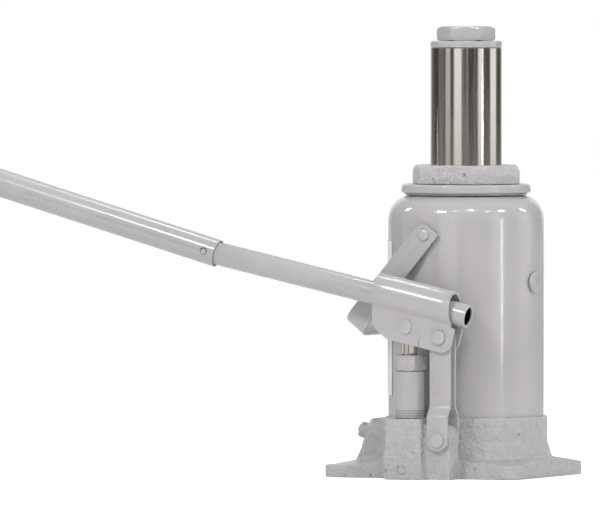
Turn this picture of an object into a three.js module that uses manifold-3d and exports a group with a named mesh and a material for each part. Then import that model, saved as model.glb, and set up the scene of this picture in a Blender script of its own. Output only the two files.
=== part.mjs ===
// Hydraulic bottle jack with a two-piece handle, a carry bail and a screw-out ram head.
// Millimetres, +Z up. The origin is on the ram axis at the underside of the base. The pump
// linkage stands on the -Y side and the handle points to -X.
import * as THREE from "three";
import { mergeVertices } from "three/addons/utils/BufferGeometryUtils.js";
import Module from "manifold-3d";

const wasm = await Module();
wasm.setup();

// ---------------------------------------------------------------- driving dimensions
const GAP = 0.3; // between neighbouring pieces
const RUN = 0.3; // radial running clearance of a piece that slides or turns
const WIDE = 40; // facets round a large turned piece
const ROUND = 20; // facets round a middling one
const FINE = 12; // facets round a pin, ball or drilling

const ram = { radius: 30.5, length: 210, raised: 100, sealStack: 14, floorGap: 2, screwBore: 120 };
const cylinder = { clearance: 0.5, wall: 11, shortOfTop: 2.7 };
const tank = { oilSpace: 24, wall: 3, top: 238.7, shoulder: 20, mouthGap: 2 };
const gasket = { thick: 1.2 };
const base = {
  leftReach: 40, rightReach: 12, frontReach: 11, backReach: 14, // plate beyond the tank
  corner: 15, farCorner: 28,
  edge: 10, // plate thickness at its rim
  slopeTop: 16.5, // height of the sloping top where it meets the collar
  slopeReach: 46, // how far beyond the tank the slope runs out to the rim height
  collarTop: 51.5, collarWall: 3, collarFlare: 4, // collar that the tank stands in
  tankSeat: 44, cylinderSeat: 38, // floors inside the collar
};
const disc = { lap: 11, thick: 7.5, round: 2 };
const nut = { wrenchWall: 12.2, height: 16, skirt: 5.5, skirtDrop: 12.7, lip: 3, chamfer: 3.5 };
const gland = { packing: 3.5, bushHeight: 22, wiperHeight: 9 };
const stopRing = { height: 5.3, chamfer: 1 };
const screw = {
  radius: 18, length: 106, shoulder: 3.5, head: 12, chamfer: 2.2, turnedTo: 20,
  groove: 2, grooveHeight: 3, grooveUp: 4, // groove of the keeper ring, from the lower end
};
const plunger = { radius: 6.5, low: 62 };
const pump = {
  x: -16, // axis; its distance from the tank follows from the bail and the socket
  gland: 2.9, glandWall: 3.35, threadWall: 3.5, low: 26.3, high: 91.3,
  rings: 3, ringPitch: 2.2, ringDepth: 0.6, sealHeight: 7,
  capLess: 0.5, capHeight: 13.4, capChamfer: 1.6,
};
const boss = { wall: 4.25, top: 51.5, lowTop: 24.5, lowProud: 1.6, corner: 5 };
const lug = { thick: 20, top: 47, end: 6.3, round: 12 };
const pin = { radius: 4, rim: 2.15, headThick: 2.2, clipRim: 2.4, clipThick: 1.6, tail: 2 };
const eye = { slideX: 2.5, slideZ: 0.8, wall: 3.4, cheek: 5.2 }; // plunger eye round its pin
const link = { edge: 5.25, thick: 3, length: 87, lowZ: 33.3, lean: 30.7, spread: 0.4 };
const socket = {
  play: 3.1, sheet: 2.5, drop: 9.5, tilt: 12.5, // tube of the folded lever
  mouth: -66.4, rearTop: 2.2, rearLow: 8.9, earSlack: 0.8, earFoot: 12, earEnd: 8.7,
  pinBack: 31, pinUp: 2, // plunger pin seen from the link pin
};
const handle = {
  radius: 9.9, wall: 2, rear: 19, entry: -218.6, rests: 0.4,
  neckLess: 1.7, neckWall: 1.6, neckLength: 30, overlap: 2,
  outerPlay: 0.5, outerWall: 1.3, outerLength: 372, kink: 3.6,
};
const detent = { radius: 2.5, proud: 0.8, sink: 1.7, back: 9, leaf: 0.6, leafWide: 5, leafLong: 16 };
const bail = {
  x: -10, belowTop: 32.7, droop: 50, width: 20, thick: 3, side: 1.5, bend: 12, end: 12, rest: 1.3,
  socketGap: 1,
};
const stud = { radius: 3.5, head: 4.9, headThick: 2 };
const valve = {
  reach: 24, y: -17, z: 39.5, tilt: 20, radius: 6.8, length: 30, slot: 3.2, slotDeep: 6,
  bossSide: 9.2, bossHigh: 15, bossFace: 11, ball: 3, point: 2.5, groove: 1.6, ringHeight: 2.4,
};
const ball = 3.5;
const springWire = 0.6;
const filler = { belowTop: 73.2, angle: -8, rim: 2, plug: 6.2, proud: 3 };
const label = { low: 69, belowTop: 38.7, from: 141.5, to: 221.5, thick: 0.4 };

// ---------------------------------------------------------------- worked-out sizes
const bore = ram.radius + cylinder.clearance;
const cylinderRadius = bore + cylinder.wall;
const cylinderTop = tank.top - cylinder.shortOfTop;
const tankRadius = cylinderRadius + tank.oilSpace;
const tankInner = tankRadius - tank.wall;
const tankMouth = cylinderRadius + tank.mouthGap;
const oilRadius = (cylinderRadius + tankInner) / 2;
const collarRadius = tankRadius + RUN + base.collarWall;
const tankLow = base.tankSeat + gasket.thick + 2 * GAP;
const cylinderLow = base.cylinderSeat + gasket.thick + 2 * GAP;
const discRadius = tankMouth + disc.lap;
const discLow = tank.top + gasket.thick + 2 * GAP;
const nutLow = discLow + disc.thick + GAP;
const nutTop = nutLow + nut.height;
const nutSkirt = ram.radius + nut.skirt;
const skirtLow = tank.top - nut.skirtDrop;
const glandRadius = ram.radius + gland.packing;
const ramLow = base.cylinderSeat + ram.floorGap + ram.sealStack + ram.raised;
const ramTop = ramLow + ram.length;
const stopLow = ramTop + GAP;
const headLow = stopLow + stopRing.height + GAP;
const screwLow = headLow - screw.length;
const screwHole = screw.radius + 2 * RUN;

const socketInner = handle.radius + socket.play;
const socketRadius = socketInner + socket.sheet;
const socketAxisUp = socket.drop + socketRadius;
const earIn = plunger.radius + socket.earSlack;
const earOut = earIn + socket.sheet;
const pumpY = -(tankRadius + bail.side + bail.thick + bail.socketGap + socketRadius);
const pumpBore = plunger.radius + RUN;
const sealRadius = plunger.radius + pump.gland;
const pumpRadius = sealRadius + pump.glandWall;
const threadRadius = plunger.radius + pump.threadWall;
const capLow = pump.high + GAP;
const bossHalf = pumpRadius + boss.wall;
const linkHalf = pin.radius + link.edge;
const linkTopOut = earIn - link.thick - 0.4;
const linkPin = new THREE.Vector3(pump.x + link.lean, pumpY, link.lowZ + link.length);
const socketTilt = THREE.MathUtils.degToRad(socket.tilt);
const plungerPinLocal = new THREE.Vector3(-socket.pinBack, 0, socket.pinUp);
const upAxisY = new THREE.Vector3(0, 1, 0);
const plungerPin = plungerPinLocal.clone().applyAxisAngle(upAxisY, socketTilt).add(linkPin);
const slotHigh = 2 * (pin.radius + RUN + eye.slideZ);
const slotWide = 2 * (pin.radius + RUN + eye.slideX);

// ---------------------------------------------------------------- finishes
const finish = {
  paint: { color: 0xbcbcba, roughness: 0.32, metalness: 0.1 },
  casting: { color: 0xbabab6, roughness: 0.5, metalness: 0.1 },
  bright: { color: 0xd8d4cc, roughness: 0.15, metalness: 1 },
  steel: { color: 0x9a9a9a, roughness: 0.4, metalness: 0.9 },
  brass: { color: 0xb8975a, roughness: 0.35, metalness: 1 },
  rubber: { color: 0x202020, roughness: 0.8, metalness: 0 },
  plug: { color: 0xb4b4b0, roughness: 0.6, metalness: 0 },
  paper: { color: 0xe6e2dc, roughness: 0.7, metalness: 0 },
};

// ---------------------------------------------------------------- making shapes
const MERGE = 1e-4;

/** A closed geometry as a solid, with its doubled vertices merged. */
function solid(geometry) {
  const bare = geometry.index ? geometry.toNonIndexed() : geometry.clone();
  bare.deleteAttribute("normal");
  bare.deleteAttribute("uv");
  const merged = mergeVertices(bare, MERGE);
  const corners = [];
  const index = merged.index.array;
  for (let i = 0; i < index.length; i += 3) {
    const [a, b, c] = [index[i], index[i + 1], index[i + 2]];
    if (a !== b && b !== c && c !== a) corners.push(a, b, c);
  }
  return new wasm.Manifold(new wasm.Mesh({
    numProp: 3,
    vertProperties: merged.attributes.position.array,
    triVerts: new Uint32Array(corners),
  }));
}

/** A solid back as a geometry. */
function geometryOf(made) {
  const mesh = made.getMesh();
  const geometry = new THREE.BufferGeometry();
  geometry.setAttribute("position", new THREE.BufferAttribute(mesh.vertProperties, 3));
  geometry.setIndex(new THREE.BufferAttribute(mesh.triVerts, 1));
  geometry.computeVertexNormals();
  return geometry;
}

const cut = (body, ...tools) =>
  geometryOf(tools.reduce((left, tool) => left.subtract(solid(tool)), solid(body)));
const join = (body, ...others) =>
  geometryOf(others.reduce((sum, other) => sum.add(solid(other)), solid(body)));
const common = (body, other) => geometryOf(solid(body).intersect(solid(other)));

/** A profile of [radius, height] points turned round Z, whichever way it was listed. */
function turned(profile, facets = ROUND) {
  const loop = profile.map(([r, z]) => new THREE.Vector2(r, z));
  const onAxis = profile[0][0] === 0 && profile.at(-1)[0] === 0;
  if (THREE.ShapeUtils.area(loop) < 0) loop.reverse();
  if (!onAxis) loop.push(loop[0].clone());
  return new THREE.LatheGeometry(loop, facets).rotateX(Math.PI / 2);
}

/** A rod on Z with an optional chamfer at its upper end. */
function rod(radius, low, high, facets = ROUND, chamfer = 0) {
  const top = chamfer ? [[radius, high - chamfer], [radius - chamfer, high]] : [[radius, high]];
  return turned([[0, low], [radius, low], ...top, [0, high]], facets);
}

/** A plain ring on Z. */
function ring(inner, outer, low, high, facets = ROUND) {
  return turned([[inner, low], [outer, low], [outer, high], [inner, high]], facets);
}

/** A box from its lowest to its highest corner. */
function block(x0, y0, z0, x1, y1, z1) {
  return new THREE.BoxGeometry(x1 - x0, y1 - y0, z1 - z0)
    .translate((x0 + x1) / 2, (y0 + y1) / 2, (z0 + z1) / 2);
}

/** A hexagonal prism on Z, its corners chamfered at the top. */
function hexagon(flats, low, high, chamfer, turnDegrees = 0) {
  const corner = flats / Math.sqrt(3);
  const prism = new THREE.CylinderGeometry(corner, corner, high - low, 6)
    .rotateX(Math.PI / 2)
    .rotateZ(THREE.MathUtils.degToRad(turnDegrees))
    .translate(0, 0, (low + high) / 2);
  const fall = (corner - flats / 2 + chamfer) * Math.tan(Math.PI / 6);
  const cone = turned(
    [[0, low - 1], [corner + 1, low - 1], [corner + 1, high - fall - Math.tan(Math.PI / 6)],
      [flats / 2 - chamfer, high], [0, high]], ROUND);
  return common(prism, cone);
}

/** An outline with rounded corners: points are [x, y, radius]. */
function outline(points) {
  const shape = new THREE.Shape();
  points.forEach(([x, y, radius = 0], i) => {
    const here = new THREE.Vector2(x, y);
    const before = points.at(i - 1);
    const after = points[(i + 1) % points.length];
    const towards = ([px, py]) => new THREE.Vector2(px, py).sub(here).normalize();
    const [back, on] = [towards(before), towards(after)];
    const half = Math.acos(THREE.MathUtils.clamp(back.dot(on), -1, 1)) / 2;
    const reach = radius / Math.tan(half);
    const start = here.clone().addScaledVector(back, reach);
    const end = here.clone().addScaledVector(on, reach);
    if (i === 0) shape.moveTo(start.x, start.y);
    else shape.lineTo(start.x, start.y);
    if (radius) shape.quadraticCurveTo(x, y, end.x, end.y);
  });
  shape.closePath();
  return shape;
}

/** A shape pulled up Z from low to high. */
function prism(shape, low, high, curveSegments = 5) {
  return new THREE.ExtrudeGeometry(shape, { depth: high - low, bevelEnabled: false, curveSegments })
    .translate(0, 0, low);
}

/** Stands an XZ outline up: local Y of the shape becomes Z, and the pull runs along Y. */
function standing(shape, y0, y1, curveSegments = 5) {
  return prism(shape, 0, y1 - y0, curveSegments).rotateX(Math.PI / 2).translate(0, y1, 0);
}

/** Lays a turned piece along Y, its upper end towards -Y. */
const alongY = (geometry) => geometry.rotateX(Math.PI / 2);
/** Lays a turned piece along X, its upper end towards +X. */
const alongX = (geometry) => geometry.rotateY(Math.PI / 2);

/** A coil spring standing on Z. */
function spring(coil, low, high, turns) {
  class Helix extends THREE.Curve {
    getPoint(t, target = new THREE.Vector3()) {
      const turn = 2 * Math.PI * turns * t;
      const height = low + springWire + (high - low - 2 * springWire) * t;
      return target.set(coil * Math.cos(turn), coil * Math.sin(turn), height);
    }
  }
  const wire = new THREE.Shape().absarc(0, 0, springWire, 0, 2 * Math.PI);
  return new THREE.ExtrudeGeometry(wire,
    { steps: turns * 8, extrudePath: new Helix(), bevelEnabled: false, curveSegments: 3 });
}

const root = new THREE.Group();

/** Names a geometry as one node of the jack. */
function piece(name, geometry, look, place = [0, 0, 0], parent = root) {
  const mesh = new THREE.Mesh(geometry, new THREE.MeshStandardMaterial(look));
  mesh.name = name;
  mesh.position.set(...place);
  parent.add(mesh);
  return mesh;
}

// ---------------------------------------------------------------- oil passages
/** A place in the plane at a radius and an X, on the pump's side. */
const placeAtX = (radius, x) => [x, -Math.sqrt(radius * radius - x * x)];
const strainerPlace = placeAtX(oilRadius, pump.x);
const dischargePlace = placeAtX(bore - 6, pump.x);
const overloadPlace = placeAtX(oilRadius, 30);
const overloadFeed = placeAtX(bore - 11, 12);
const passage = 2.2;
const intakeZ = 8;
const suctionSeat = 12;
const dischargeSeat = 24;
const overloadSeat = 22;
const pumpHoleLow = 24;

/** A drilling between two points. */
function drilling(from, to, radius, facets = 8) {
  const start = new THREE.Vector3(...from);
  const run = new THREE.Vector3(...to).sub(start);
  const turn = new THREE.Quaternion()
    .setFromUnitVectors(new THREE.Vector3(0, 0, 1), run.clone().normalize());
  return rod(radius, 0, run.length(), facets).applyQuaternion(turn).translate(...start.toArray());
}

const valveOut = new THREE.Vector3(-1, 0, 0)
  .applyAxisAngle(upAxisY, THREE.MathUtils.degToRad(valve.tilt));
const valveTip = new THREE.Vector3(-tankRadius - valve.reach, valve.y, valve.z);
const valveBallAt = valve.length - valve.point + valve.ball + GAP;
const valveReturnX = Math.sqrt(oilRadius ** 2 - valve.y ** 2);
const valveSpan = tankRadius + valve.reach - bore + 7;
const valveFeed = valveSpan / Math.cos(THREE.MathUtils.degToRad(valve.tilt)) + 4;
const valvePoint = (inward) => valveTip.clone().addScaledVector(valveOut, -inward);

// ---------------------------------------------------------------- base
function baseCasting() {
  const [left, right] = [tankRadius + base.leftReach, tankRadius + base.rightReach];
  const [front, back] = [tankRadius + base.frontReach, tankRadius + base.backReach];
  const plate = outline([
    [-left, -front, base.farCorner], [right, -front, base.corner],
    [right, back, base.corner], [-left, back, base.farCorner]]);
  const collarFoot = collarRadius + base.collarFlare;
  const beyond = left + back;
  const slope = turned([[0, 0], [beyond, 0], [beyond, base.edge],
    [tankRadius + base.slopeReach, base.edge],
    [collarFoot, base.slopeTop], [0, base.slopeTop]], WIDE);
  const collar = turned([[0, 0], [collarFoot, 0], [collarFoot, base.slopeTop],
    [collarRadius, base.slopeTop + 14], [collarRadius, base.collarTop - 1.2],
    [collarRadius - 1.2, base.collarTop], [0, base.collarTop]], WIDE);
  const bossBack = -pumpY - tankRadius + 6;
  const bossOutline = (proud) => outline([
    [-bossHalf - proud / 2, -bossHalf - proud, boss.corner],
    [bossHalf + proud / 2, -bossHalf - proud, boss.corner], [bossHalf + proud / 2, bossBack],
    [-bossHalf - proud / 2, bossBack]]);
  const pumpBoss = join(prism(bossOutline(0), 0, boss.top),
    prism(bossOutline(boss.lowProud), 0, boss.lowTop)).translate(pump.x, pumpY, 0);
  const lugEnd = linkPin.x + pin.radius + lug.end;
  const linkLug = standing(outline([
    [pump.x, 0], [lugEnd, 0], [lugEnd, lug.top, lug.round], [pump.x, lug.top]]),
  pumpY - lug.thick / 2, pumpY + lug.thick / 2);
  const lugWeb = block(pump.x, pumpY, 0, lugEnd - 1.5, -front + 6, 22);
  const side = valve.radius + valve.bossSide;
  const valveBoss = common(
    block(valve.bossFace, -side, -60, 60, side, valve.bossHigh)
      .rotateY(THREE.MathUtils.degToRad(valve.tilt)).translate(...valveTip.toArray()),
    block(-left, -front, 1, 0, back, base.collarTop - 2));
  const body = join(common(slope, prism(plate, -1, base.slopeTop + 1)), collar, pumpBoss,
    linkLug, lugWeb, valveBoss);
  const above = base.collarTop + 1;
  const seat = [pump.x, pumpY];
  return cut(body,
    rod(tankRadius + RUN, base.tankSeat, above, WIDE),
    rod(cylinderRadius + RUN, base.cylinderSeat, above, WIDE),
    rod(threadRadius + RUN, pumpHoleLow, above, ROUND).translate(...seat, 0),
    rod(ball + RUN, suctionSeat, pumpHoleLow + 1, FINE).translate(...seat, 0),
    drilling([...seat, intakeZ], [...seat, suctionSeat + 1], passage),
    drilling([pump.x, pumpY - bossHalf - 8, intakeZ], [...strainerPlace, intakeZ], passage),
    drilling([pump.x, pumpY - bossHalf - 8, intakeZ], [pump.x, pumpY - bossHalf + 6, intakeZ], 4),
    drilling([...strainerPlace, intakeZ - 1], [...strainerPlace, base.tankSeat + 1], passage),
    drilling([...seat, 21], [...dischargePlace, 20], passage),
    drilling([...dischargePlace, 18], [...dischargePlace, dischargeSeat + 1], passage),
    rod(ball + RUN, dischargeSeat, above, FINE).translate(...dischargePlace, 0),
    rod(6, overloadSeat, above, FINE).translate(...overloadPlace, 0),
    drilling([...overloadPlace, 14], [...overloadPlace, overloadSeat + 1], passage),
    drilling([...overloadPlace, 14], [...overloadFeed, 14], passage),
    drilling([...overloadFeed, 13], [...overloadFeed, base.cylinderSeat + 1], passage),
    drilling(valvePoint(-30).toArray(), valvePoint(valveBallAt + valve.ball + GAP).toArray(),
      valve.radius + 2 * RUN, ROUND),
    drilling(valvePoint(valve.length).toArray(), valvePoint(valveFeed).toArray(), passage),
    drilling([-valveReturnX, valve.y, 24], [-valveReturnX, valve.y, base.tankSeat + 1], passage),
    drilling([-bore + 7, valve.y, 15], [-bore + 7, valve.y, base.cylinderSeat + 1], passage),
    alongY(rod(pin.radius + RUN, -40, 40, FINE)).translate(linkPin.x, pumpY, link.lowZ),
  );
}

/** Ball, spring and keeper of one check valve that opens upwards. */
function checkValve(name, [x, y], seat, keeperLow, keeper) {
  const ballZ = seat + ball + GAP;
  piece(`${name}_ball`, new THREE.SphereGeometry(ball - GAP, 10, 6).rotateX(Math.PI / 2),
    finish.bright, [x, y, ballZ]);
  piece(`${name}_spring`, spring(ball - 1.1, ballZ + ball, keeperLow - GAP, 3),
    finish.steel, [x, y, 0]);
  piece(`${name}_cage`, keeper, finish.steel, [x, y, keeperLow]);
}

function basePieces() {
  piece("base_casting", baseCasting(), finish.casting);
  piece("tank_gasket", ring(tankInner - 0.5, tankRadius, base.tankSeat + GAP,
    base.tankSeat + GAP + gasket.thick, WIDE), finish.rubber);
  piece("cylinder_gasket", ring(bore + 0.5, cylinderRadius, base.cylinderSeat + GAP,
    base.cylinderSeat + GAP + gasket.thick, WIDE), finish.brass);
  piece("intake_plug", alongY(rod(3.7, 0, 4.6, FINE, 0.6)), finish.steel,
    [pump.x, pumpY - bossHalf - boss.lowProud + 6.3, intakeZ]);
  piece("suction_strainer", turned([[0, 0], [4.2, 0], [5, 1.2], [3.4, 5.6], [0, 6.2]], FINE),
    finish.brass, [...strainerPlace, base.tankSeat + GAP]);
  checkValve("suction", [pump.x, pumpY], suctionSeat, pumpHoleLow + GAP,
    ring(1.6, threadRadius - 0.2, 0, pump.low - pumpHoleLow - 2 * GAP, ROUND));
  checkValve("discharge", dischargePlace, dischargeSeat, base.cylinderSeat - 2,
    ring(1.4, ball, 0, 1.7, FINE));
  overloadValve();
}

function overloadValve() {
  const ballZ = overloadSeat + ball;
  piece("overload_ball", new THREE.SphereGeometry(ball - GAP, 10, 6).rotateX(Math.PI / 2),
    finish.bright, [...overloadPlace, ballZ]);
  piece("overload_spring", spring(3.2, ballZ + ball, 36, 3), finish.steel, [...overloadPlace, 0]);
  piece("overload_screw", cut(rod(5.7, 0, 7, FINE), block(-7, -0.8, 5.2, 7, 0.8, 9)),
    finish.brass, [...overloadPlace, 36.3]);
}

// ---------------------------------------------------------------- tank, cylinder and top
/** Points of a quarter turn from one angle to another about a centre. */
function arc(cr, cz, radius, fromDegrees, toDegrees, steps) {
  return Array.from({ length: steps + 1 }, (_, i) => {
    const a = THREE.MathUtils.degToRad(fromDegrees + ((toDegrees - fromDegrees) * i) / steps);
    return [cr + radius * Math.cos(a), cz + radius * Math.sin(a)];
  });
}

function reservoirTank() {
  const centreR = tankRadius - tank.shoulder;
  const centreZ = tank.top - tank.shoulder;
  const inner = tankInner;
  const shell = turned([
    [inner, tankLow], [tankRadius, tankLow],
    ...arc(centreR, centreZ, tank.shoulder, 0, 90, 7),
    [tankMouth, tank.top], [tankMouth, tank.top - tank.wall],
    ...arc(centreR, centreZ, tank.shoulder - tank.wall, 90, 0, 5),
  ], WIDE);
  const hole = alongX(rod(filler.plug + RUN, 0, 40, FINE))
    .translate(tankRadius - 20, 0, tank.top - filler.belowTop)
    .rotateZ(THREE.MathUtils.degToRad(filler.angle));
  return cut(shell, hole);
}

function fillerPlug() {
  const inside = tank.wall + 2;
  const fillerRim = filler.plug + filler.rim;
  const body = turned([[0, -inside], [filler.plug, -inside], [filler.plug, GAP + 0.6],
    [fillerRim, GAP + 0.6], [fillerRim, filler.proud - 1], [fillerRim - 1, filler.proud],
    [0, filler.proud]], FINE);
  const holder = new THREE.Group();
  holder.rotation.z = THREE.MathUtils.degToRad(filler.angle);
  root.add(holder);
  piece("filler_plug", alongX(body), finish.plug, [tankRadius, 0, tank.top - filler.belowTop], holder);
}

function blankLabel() {
  const radius = tankRadius + GAP;
  const slice = (r) => new THREE.Shape()
    .absarc(0, 0, r + label.thick, THREE.MathUtils.degToRad(label.from),
      THREE.MathUtils.degToRad(label.to), false)
    .absarc(0, 0, r, THREE.MathUtils.degToRad(label.to),
      THREE.MathUtils.degToRad(label.from), true);
  return prism(slice(radius), label.low, tank.top - label.belowTop, 18);
}

function topPieces() {
  piece("reservoir_tank", reservoirTank(), finish.paint);
  piece("pressure_cylinder", cut(ring(bore, cylinderRadius, cylinderLow, cylinderTop, WIDE),
    rod(nutSkirt + RUN, skirtLow - GAP, cylinderTop + 1, WIDE)), finish.steel);
  piece("top_gasket", ring(tankMouth + 2, discRadius - 3, tank.top + GAP,
    tank.top + GAP + gasket.thick, WIDE), finish.rubber);
  const [round, high] = [disc.round, discLow + disc.thick];
  piece("top_disc", turned([
    [nutSkirt + RUN, discLow], [discRadius - round, discLow],
    ...arc(discRadius - round, discLow + round, round, -90, 0, 3),
    ...arc(discRadius - round, high - round, round, 0, 90, 3), [nutSkirt + RUN, high]], WIDE),
  finish.paint);
  const blank = join(hexagon(2 * (ram.radius + nut.wrenchWall), nutLow, nutTop, nut.chamfer, 30),
    rod(nutSkirt, skirtLow, nutLow + 1, WIDE));
  piece("top_nut", cut(blank, rod(glandRadius, skirtLow - 1, nutTop - nut.lip, WIDE),
    rod(ram.radius + RUN + 0.2, skirtLow - 1, nutTop + 1, WIDE)), finish.casting);
  const inner = ram.radius + RUN;
  const outer = glandRadius - GAP;
  piece("gland_bush", ring(inner, outer, skirtLow, skirtLow + gland.bushHeight, WIDE),
    finish.brass);
  const wiperLow = nutTop - nut.lip - GAP - gland.wiperHeight;
  piece("ram_wiper", ring(inner, outer, wiperLow, wiperLow + gland.wiperHeight, WIDE),
    finish.rubber);
  fillerPlug();
  piece("label_blank", blankLabel(), finish.paper);
}

// ---------------------------------------------------------------- ram and its screw
function ramPieces() {
  const retainerShank = 8;
  const chamfer = 1;
  piece("ram", cut(
    turned([[0, ramLow], [ram.radius - chamfer, ramLow], [ram.radius, ramLow + chamfer],
      [ram.radius, ramTop], [0, ramTop]], WIDE),
    rod(screwHole, ramTop - ram.screwBore, ramTop + 1, ROUND),
    rod(retainerShank + RUN, ramLow - 1, ramLow + 20, FINE)), finish.bright);
  const stopTop = stopLow + stopRing.height;
  piece("ram_stop_ring", turned([
    [screwHole, stopLow], [ram.radius, stopLow], [ram.radius, stopTop - stopRing.chamfer],
    [ram.radius - stopRing.chamfer, stopTop], [screwHole, stopTop]], WIDE), finish.paint);
  const cupTop = ramLow - GAP;
  const cupLow = cupTop - 8;
  piece("piston_cup", turned([
    [retainerShank + RUN, cupTop - 4], [bore - 4, cupTop - 4], [bore - 1.6, cupLow],
    [bore - RUN, cupLow], [bore - RUN, cupTop], [retainerShank + RUN, cupTop],
  ], WIDE), finish.rubber);
  const discHigh = cupTop - 4 - GAP;
  piece("piston_retainer", turned([
    [0, discHigh - 7], [bore - 6, discHigh - 7], [bore - 6, discHigh],
    [retainerShank, discHigh], [retainerShank, ramLow + 18], [0, ramLow + 18]], ROUND),
  finish.steel);
  const grooveLow = screwLow + screw.grooveUp;
  const grooveHigh = grooveLow + screw.grooveHeight;
  const grooveRadius = screw.radius - screw.groove;
  const shank = turned([
    [0, screwLow], [screw.radius - 1, screwLow], [screw.radius, screwLow + 1],
    [screw.radius, grooveLow], [grooveRadius, grooveLow], [grooveRadius, grooveHigh],
    [screw.radius, grooveHigh], [screw.radius, headLow + 1], [0, headLow + 1]], ROUND);
  piece("extension_screw", join(
    hexagon(2 * (screw.radius + screw.shoulder), headLow, headLow + screw.head, screw.chamfer,
      30 + screw.turnedTo), shank),
  finish.paint);
  piece("screw_keeper_ring", ring(grooveRadius + GAP, screw.radius + GAP, grooveLow + GAP,
    grooveHigh - GAP), finish.steel);
}

// ---------------------------------------------------------------- pump
function pumpPieces() {
  const collarLow = boss.top + GAP;
  const grooves = Array.from({ length: pump.rings }, (_, i) => {
    const low = collarLow + 1.2 + i * pump.ringPitch;
    const deep = pumpRadius - pump.ringDepth;
    return [[pumpRadius, low], [deep, low + 0.3], [deep, low + 0.9], [pumpRadius, low + 1.2]];
  }).flat();
  const sealLow = pump.high - pump.sealHeight;
  piece("pump_body", turned([
    [pumpBore, pump.low], [threadRadius, pump.low], [threadRadius, collarLow],
    [pumpRadius, collarLow], ...grooves, [pumpRadius, pump.high],
    [sealRadius + GAP, pump.high], [sealRadius + GAP, sealLow - GAP],
    [pumpBore, sealLow - GAP]], ROUND), finish.paint, [pump.x, pumpY, 0]);
  piece("pump_gland_seal", ring(plunger.radius + RUN, sealRadius, sealLow, pump.high),
    finish.rubber, [pump.x, pumpY, 0]);
  piece("pump_gland_cap", cut(
    hexagon(2 * pumpRadius - 2 * pump.capLess, capLow, capLow + pump.capHeight, pump.capChamfer, 12),
    rod(plunger.radius + RUN, capLow - 1, capLow + pump.capHeight + 1, ROUND)),
  finish.paint, [pump.x, pumpY, 0]);
  plungerPieces();
}

/** A slot or eye outline: a stadium of the given width and height about the origin. */
function stadium(width, height) {
  const round = height / 2;
  const reach = width / 2 - round;
  return new THREE.Shape()
    .absarc(reach, 0, round, -Math.PI / 2, Math.PI / 2, false)
    .absarc(-reach, 0, round, Math.PI / 2, (3 * Math.PI) / 2, false);
}

function plungerPieces() {
  const thick = plunger.radius;
  const [wide, high] = [slotWide + 2 * eye.cheek, slotHigh + 2 * eye.wall];
  const head = standing(stadium(wide, high), -thick, thick, 6).translate(0, 0, plungerPin.z);
  const slot = standing(stadium(slotWide, slotHigh), -thick - 1, thick + 1, 6)
    .translate(0, 0, plungerPin.z);
  const stem = rod(plunger.radius, plunger.low, plungerPin.z - slotHigh / 2 - 1, ROUND);
  const tip = 3;
  piece("plunger", cut(join(stem, head), slot, rod(tip, plunger.low - 1, plunger.low + 8, FINE)),
    finish.bright, [pump.x, pumpY, 0]);
  const cupHigh = plunger.low - GAP;
  piece("plunger_cup", turned([
    [0, cupHigh - 2], [plunger.radius - 1.6, cupHigh - 2], [plunger.radius - 0.6, cupHigh - 4],
    [plunger.radius, cupHigh - 4], [plunger.radius, cupHigh], [tip - GAP, cupHigh],
    [tip - GAP, cupHigh + 7], [0, cupHigh + 7]], ROUND), finish.rubber, [pump.x, pumpY, 0]);
}

// ---------------------------------------------------------------- linkage
/** A headed pin along Y through parts whose outer faces lie at plus and minus reach. */
function headedPin(reach) {
  const face = reach + GAP;
  const rim = pin.radius + pin.rim;
  return alongY(turned([
    [0, -face - pin.clipThick - pin.tail], [pin.radius, -face - pin.clipThick - pin.tail],
    [pin.radius, face], [rim, face], [rim, face + pin.headThick - 0.5],
    [rim - 0.5, face + pin.headThick], [0, face + pin.headThick]], FINE + 4));
}

/** The push-on clip on the far end of such a pin. */
function pinClip(reach) {
  const near = -reach - GAP;
  return alongY(ring(pin.radius + GAP, pin.radius + pin.clipRim, near - pin.clipThick, near, FINE));
}

/** One link strap: its upper end lies inside the ears, its lower end outside the lug. */
function linkStrap(side) {
  const low = lug.thick / 2 + link.spread;
  const bendLow = link.length * 0.22;
  const bendHigh = link.length * 0.34;
  const half = linkHalf;
  const t = link.thick;
  const top = linkTopOut;
  const section = new THREE.Shape([
    [low, -half], [low + t, -half], [low + t, bendLow], [top + t, bendHigh],
    [top + t, link.length + half], [top, link.length + half], [top, bendHigh], [low, bendLow],
  ].map(([y, z]) => new THREE.Vector2(y, z)));
  const bent = prism(section, -half, half).rotateY(Math.PI / 2).rotateX(Math.PI / 2);
  const face = new THREE.Shape()
    .absarc(0, 0, half, Math.PI, 2 * Math.PI, false)
    .absarc(0, link.length, half, 0, Math.PI, false);
  const trimmed = common(bent, standing(face, -30, 30, 9));
  const hole = (z) => alongY(rod(pin.radius + RUN, -30, 30, FINE)).translate(0, 0, z);
  const strap = cut(trimmed, hole(0), hole(link.length));
  return side < 0 ? strap.rotateZ(Math.PI) : strap;
}

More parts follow.
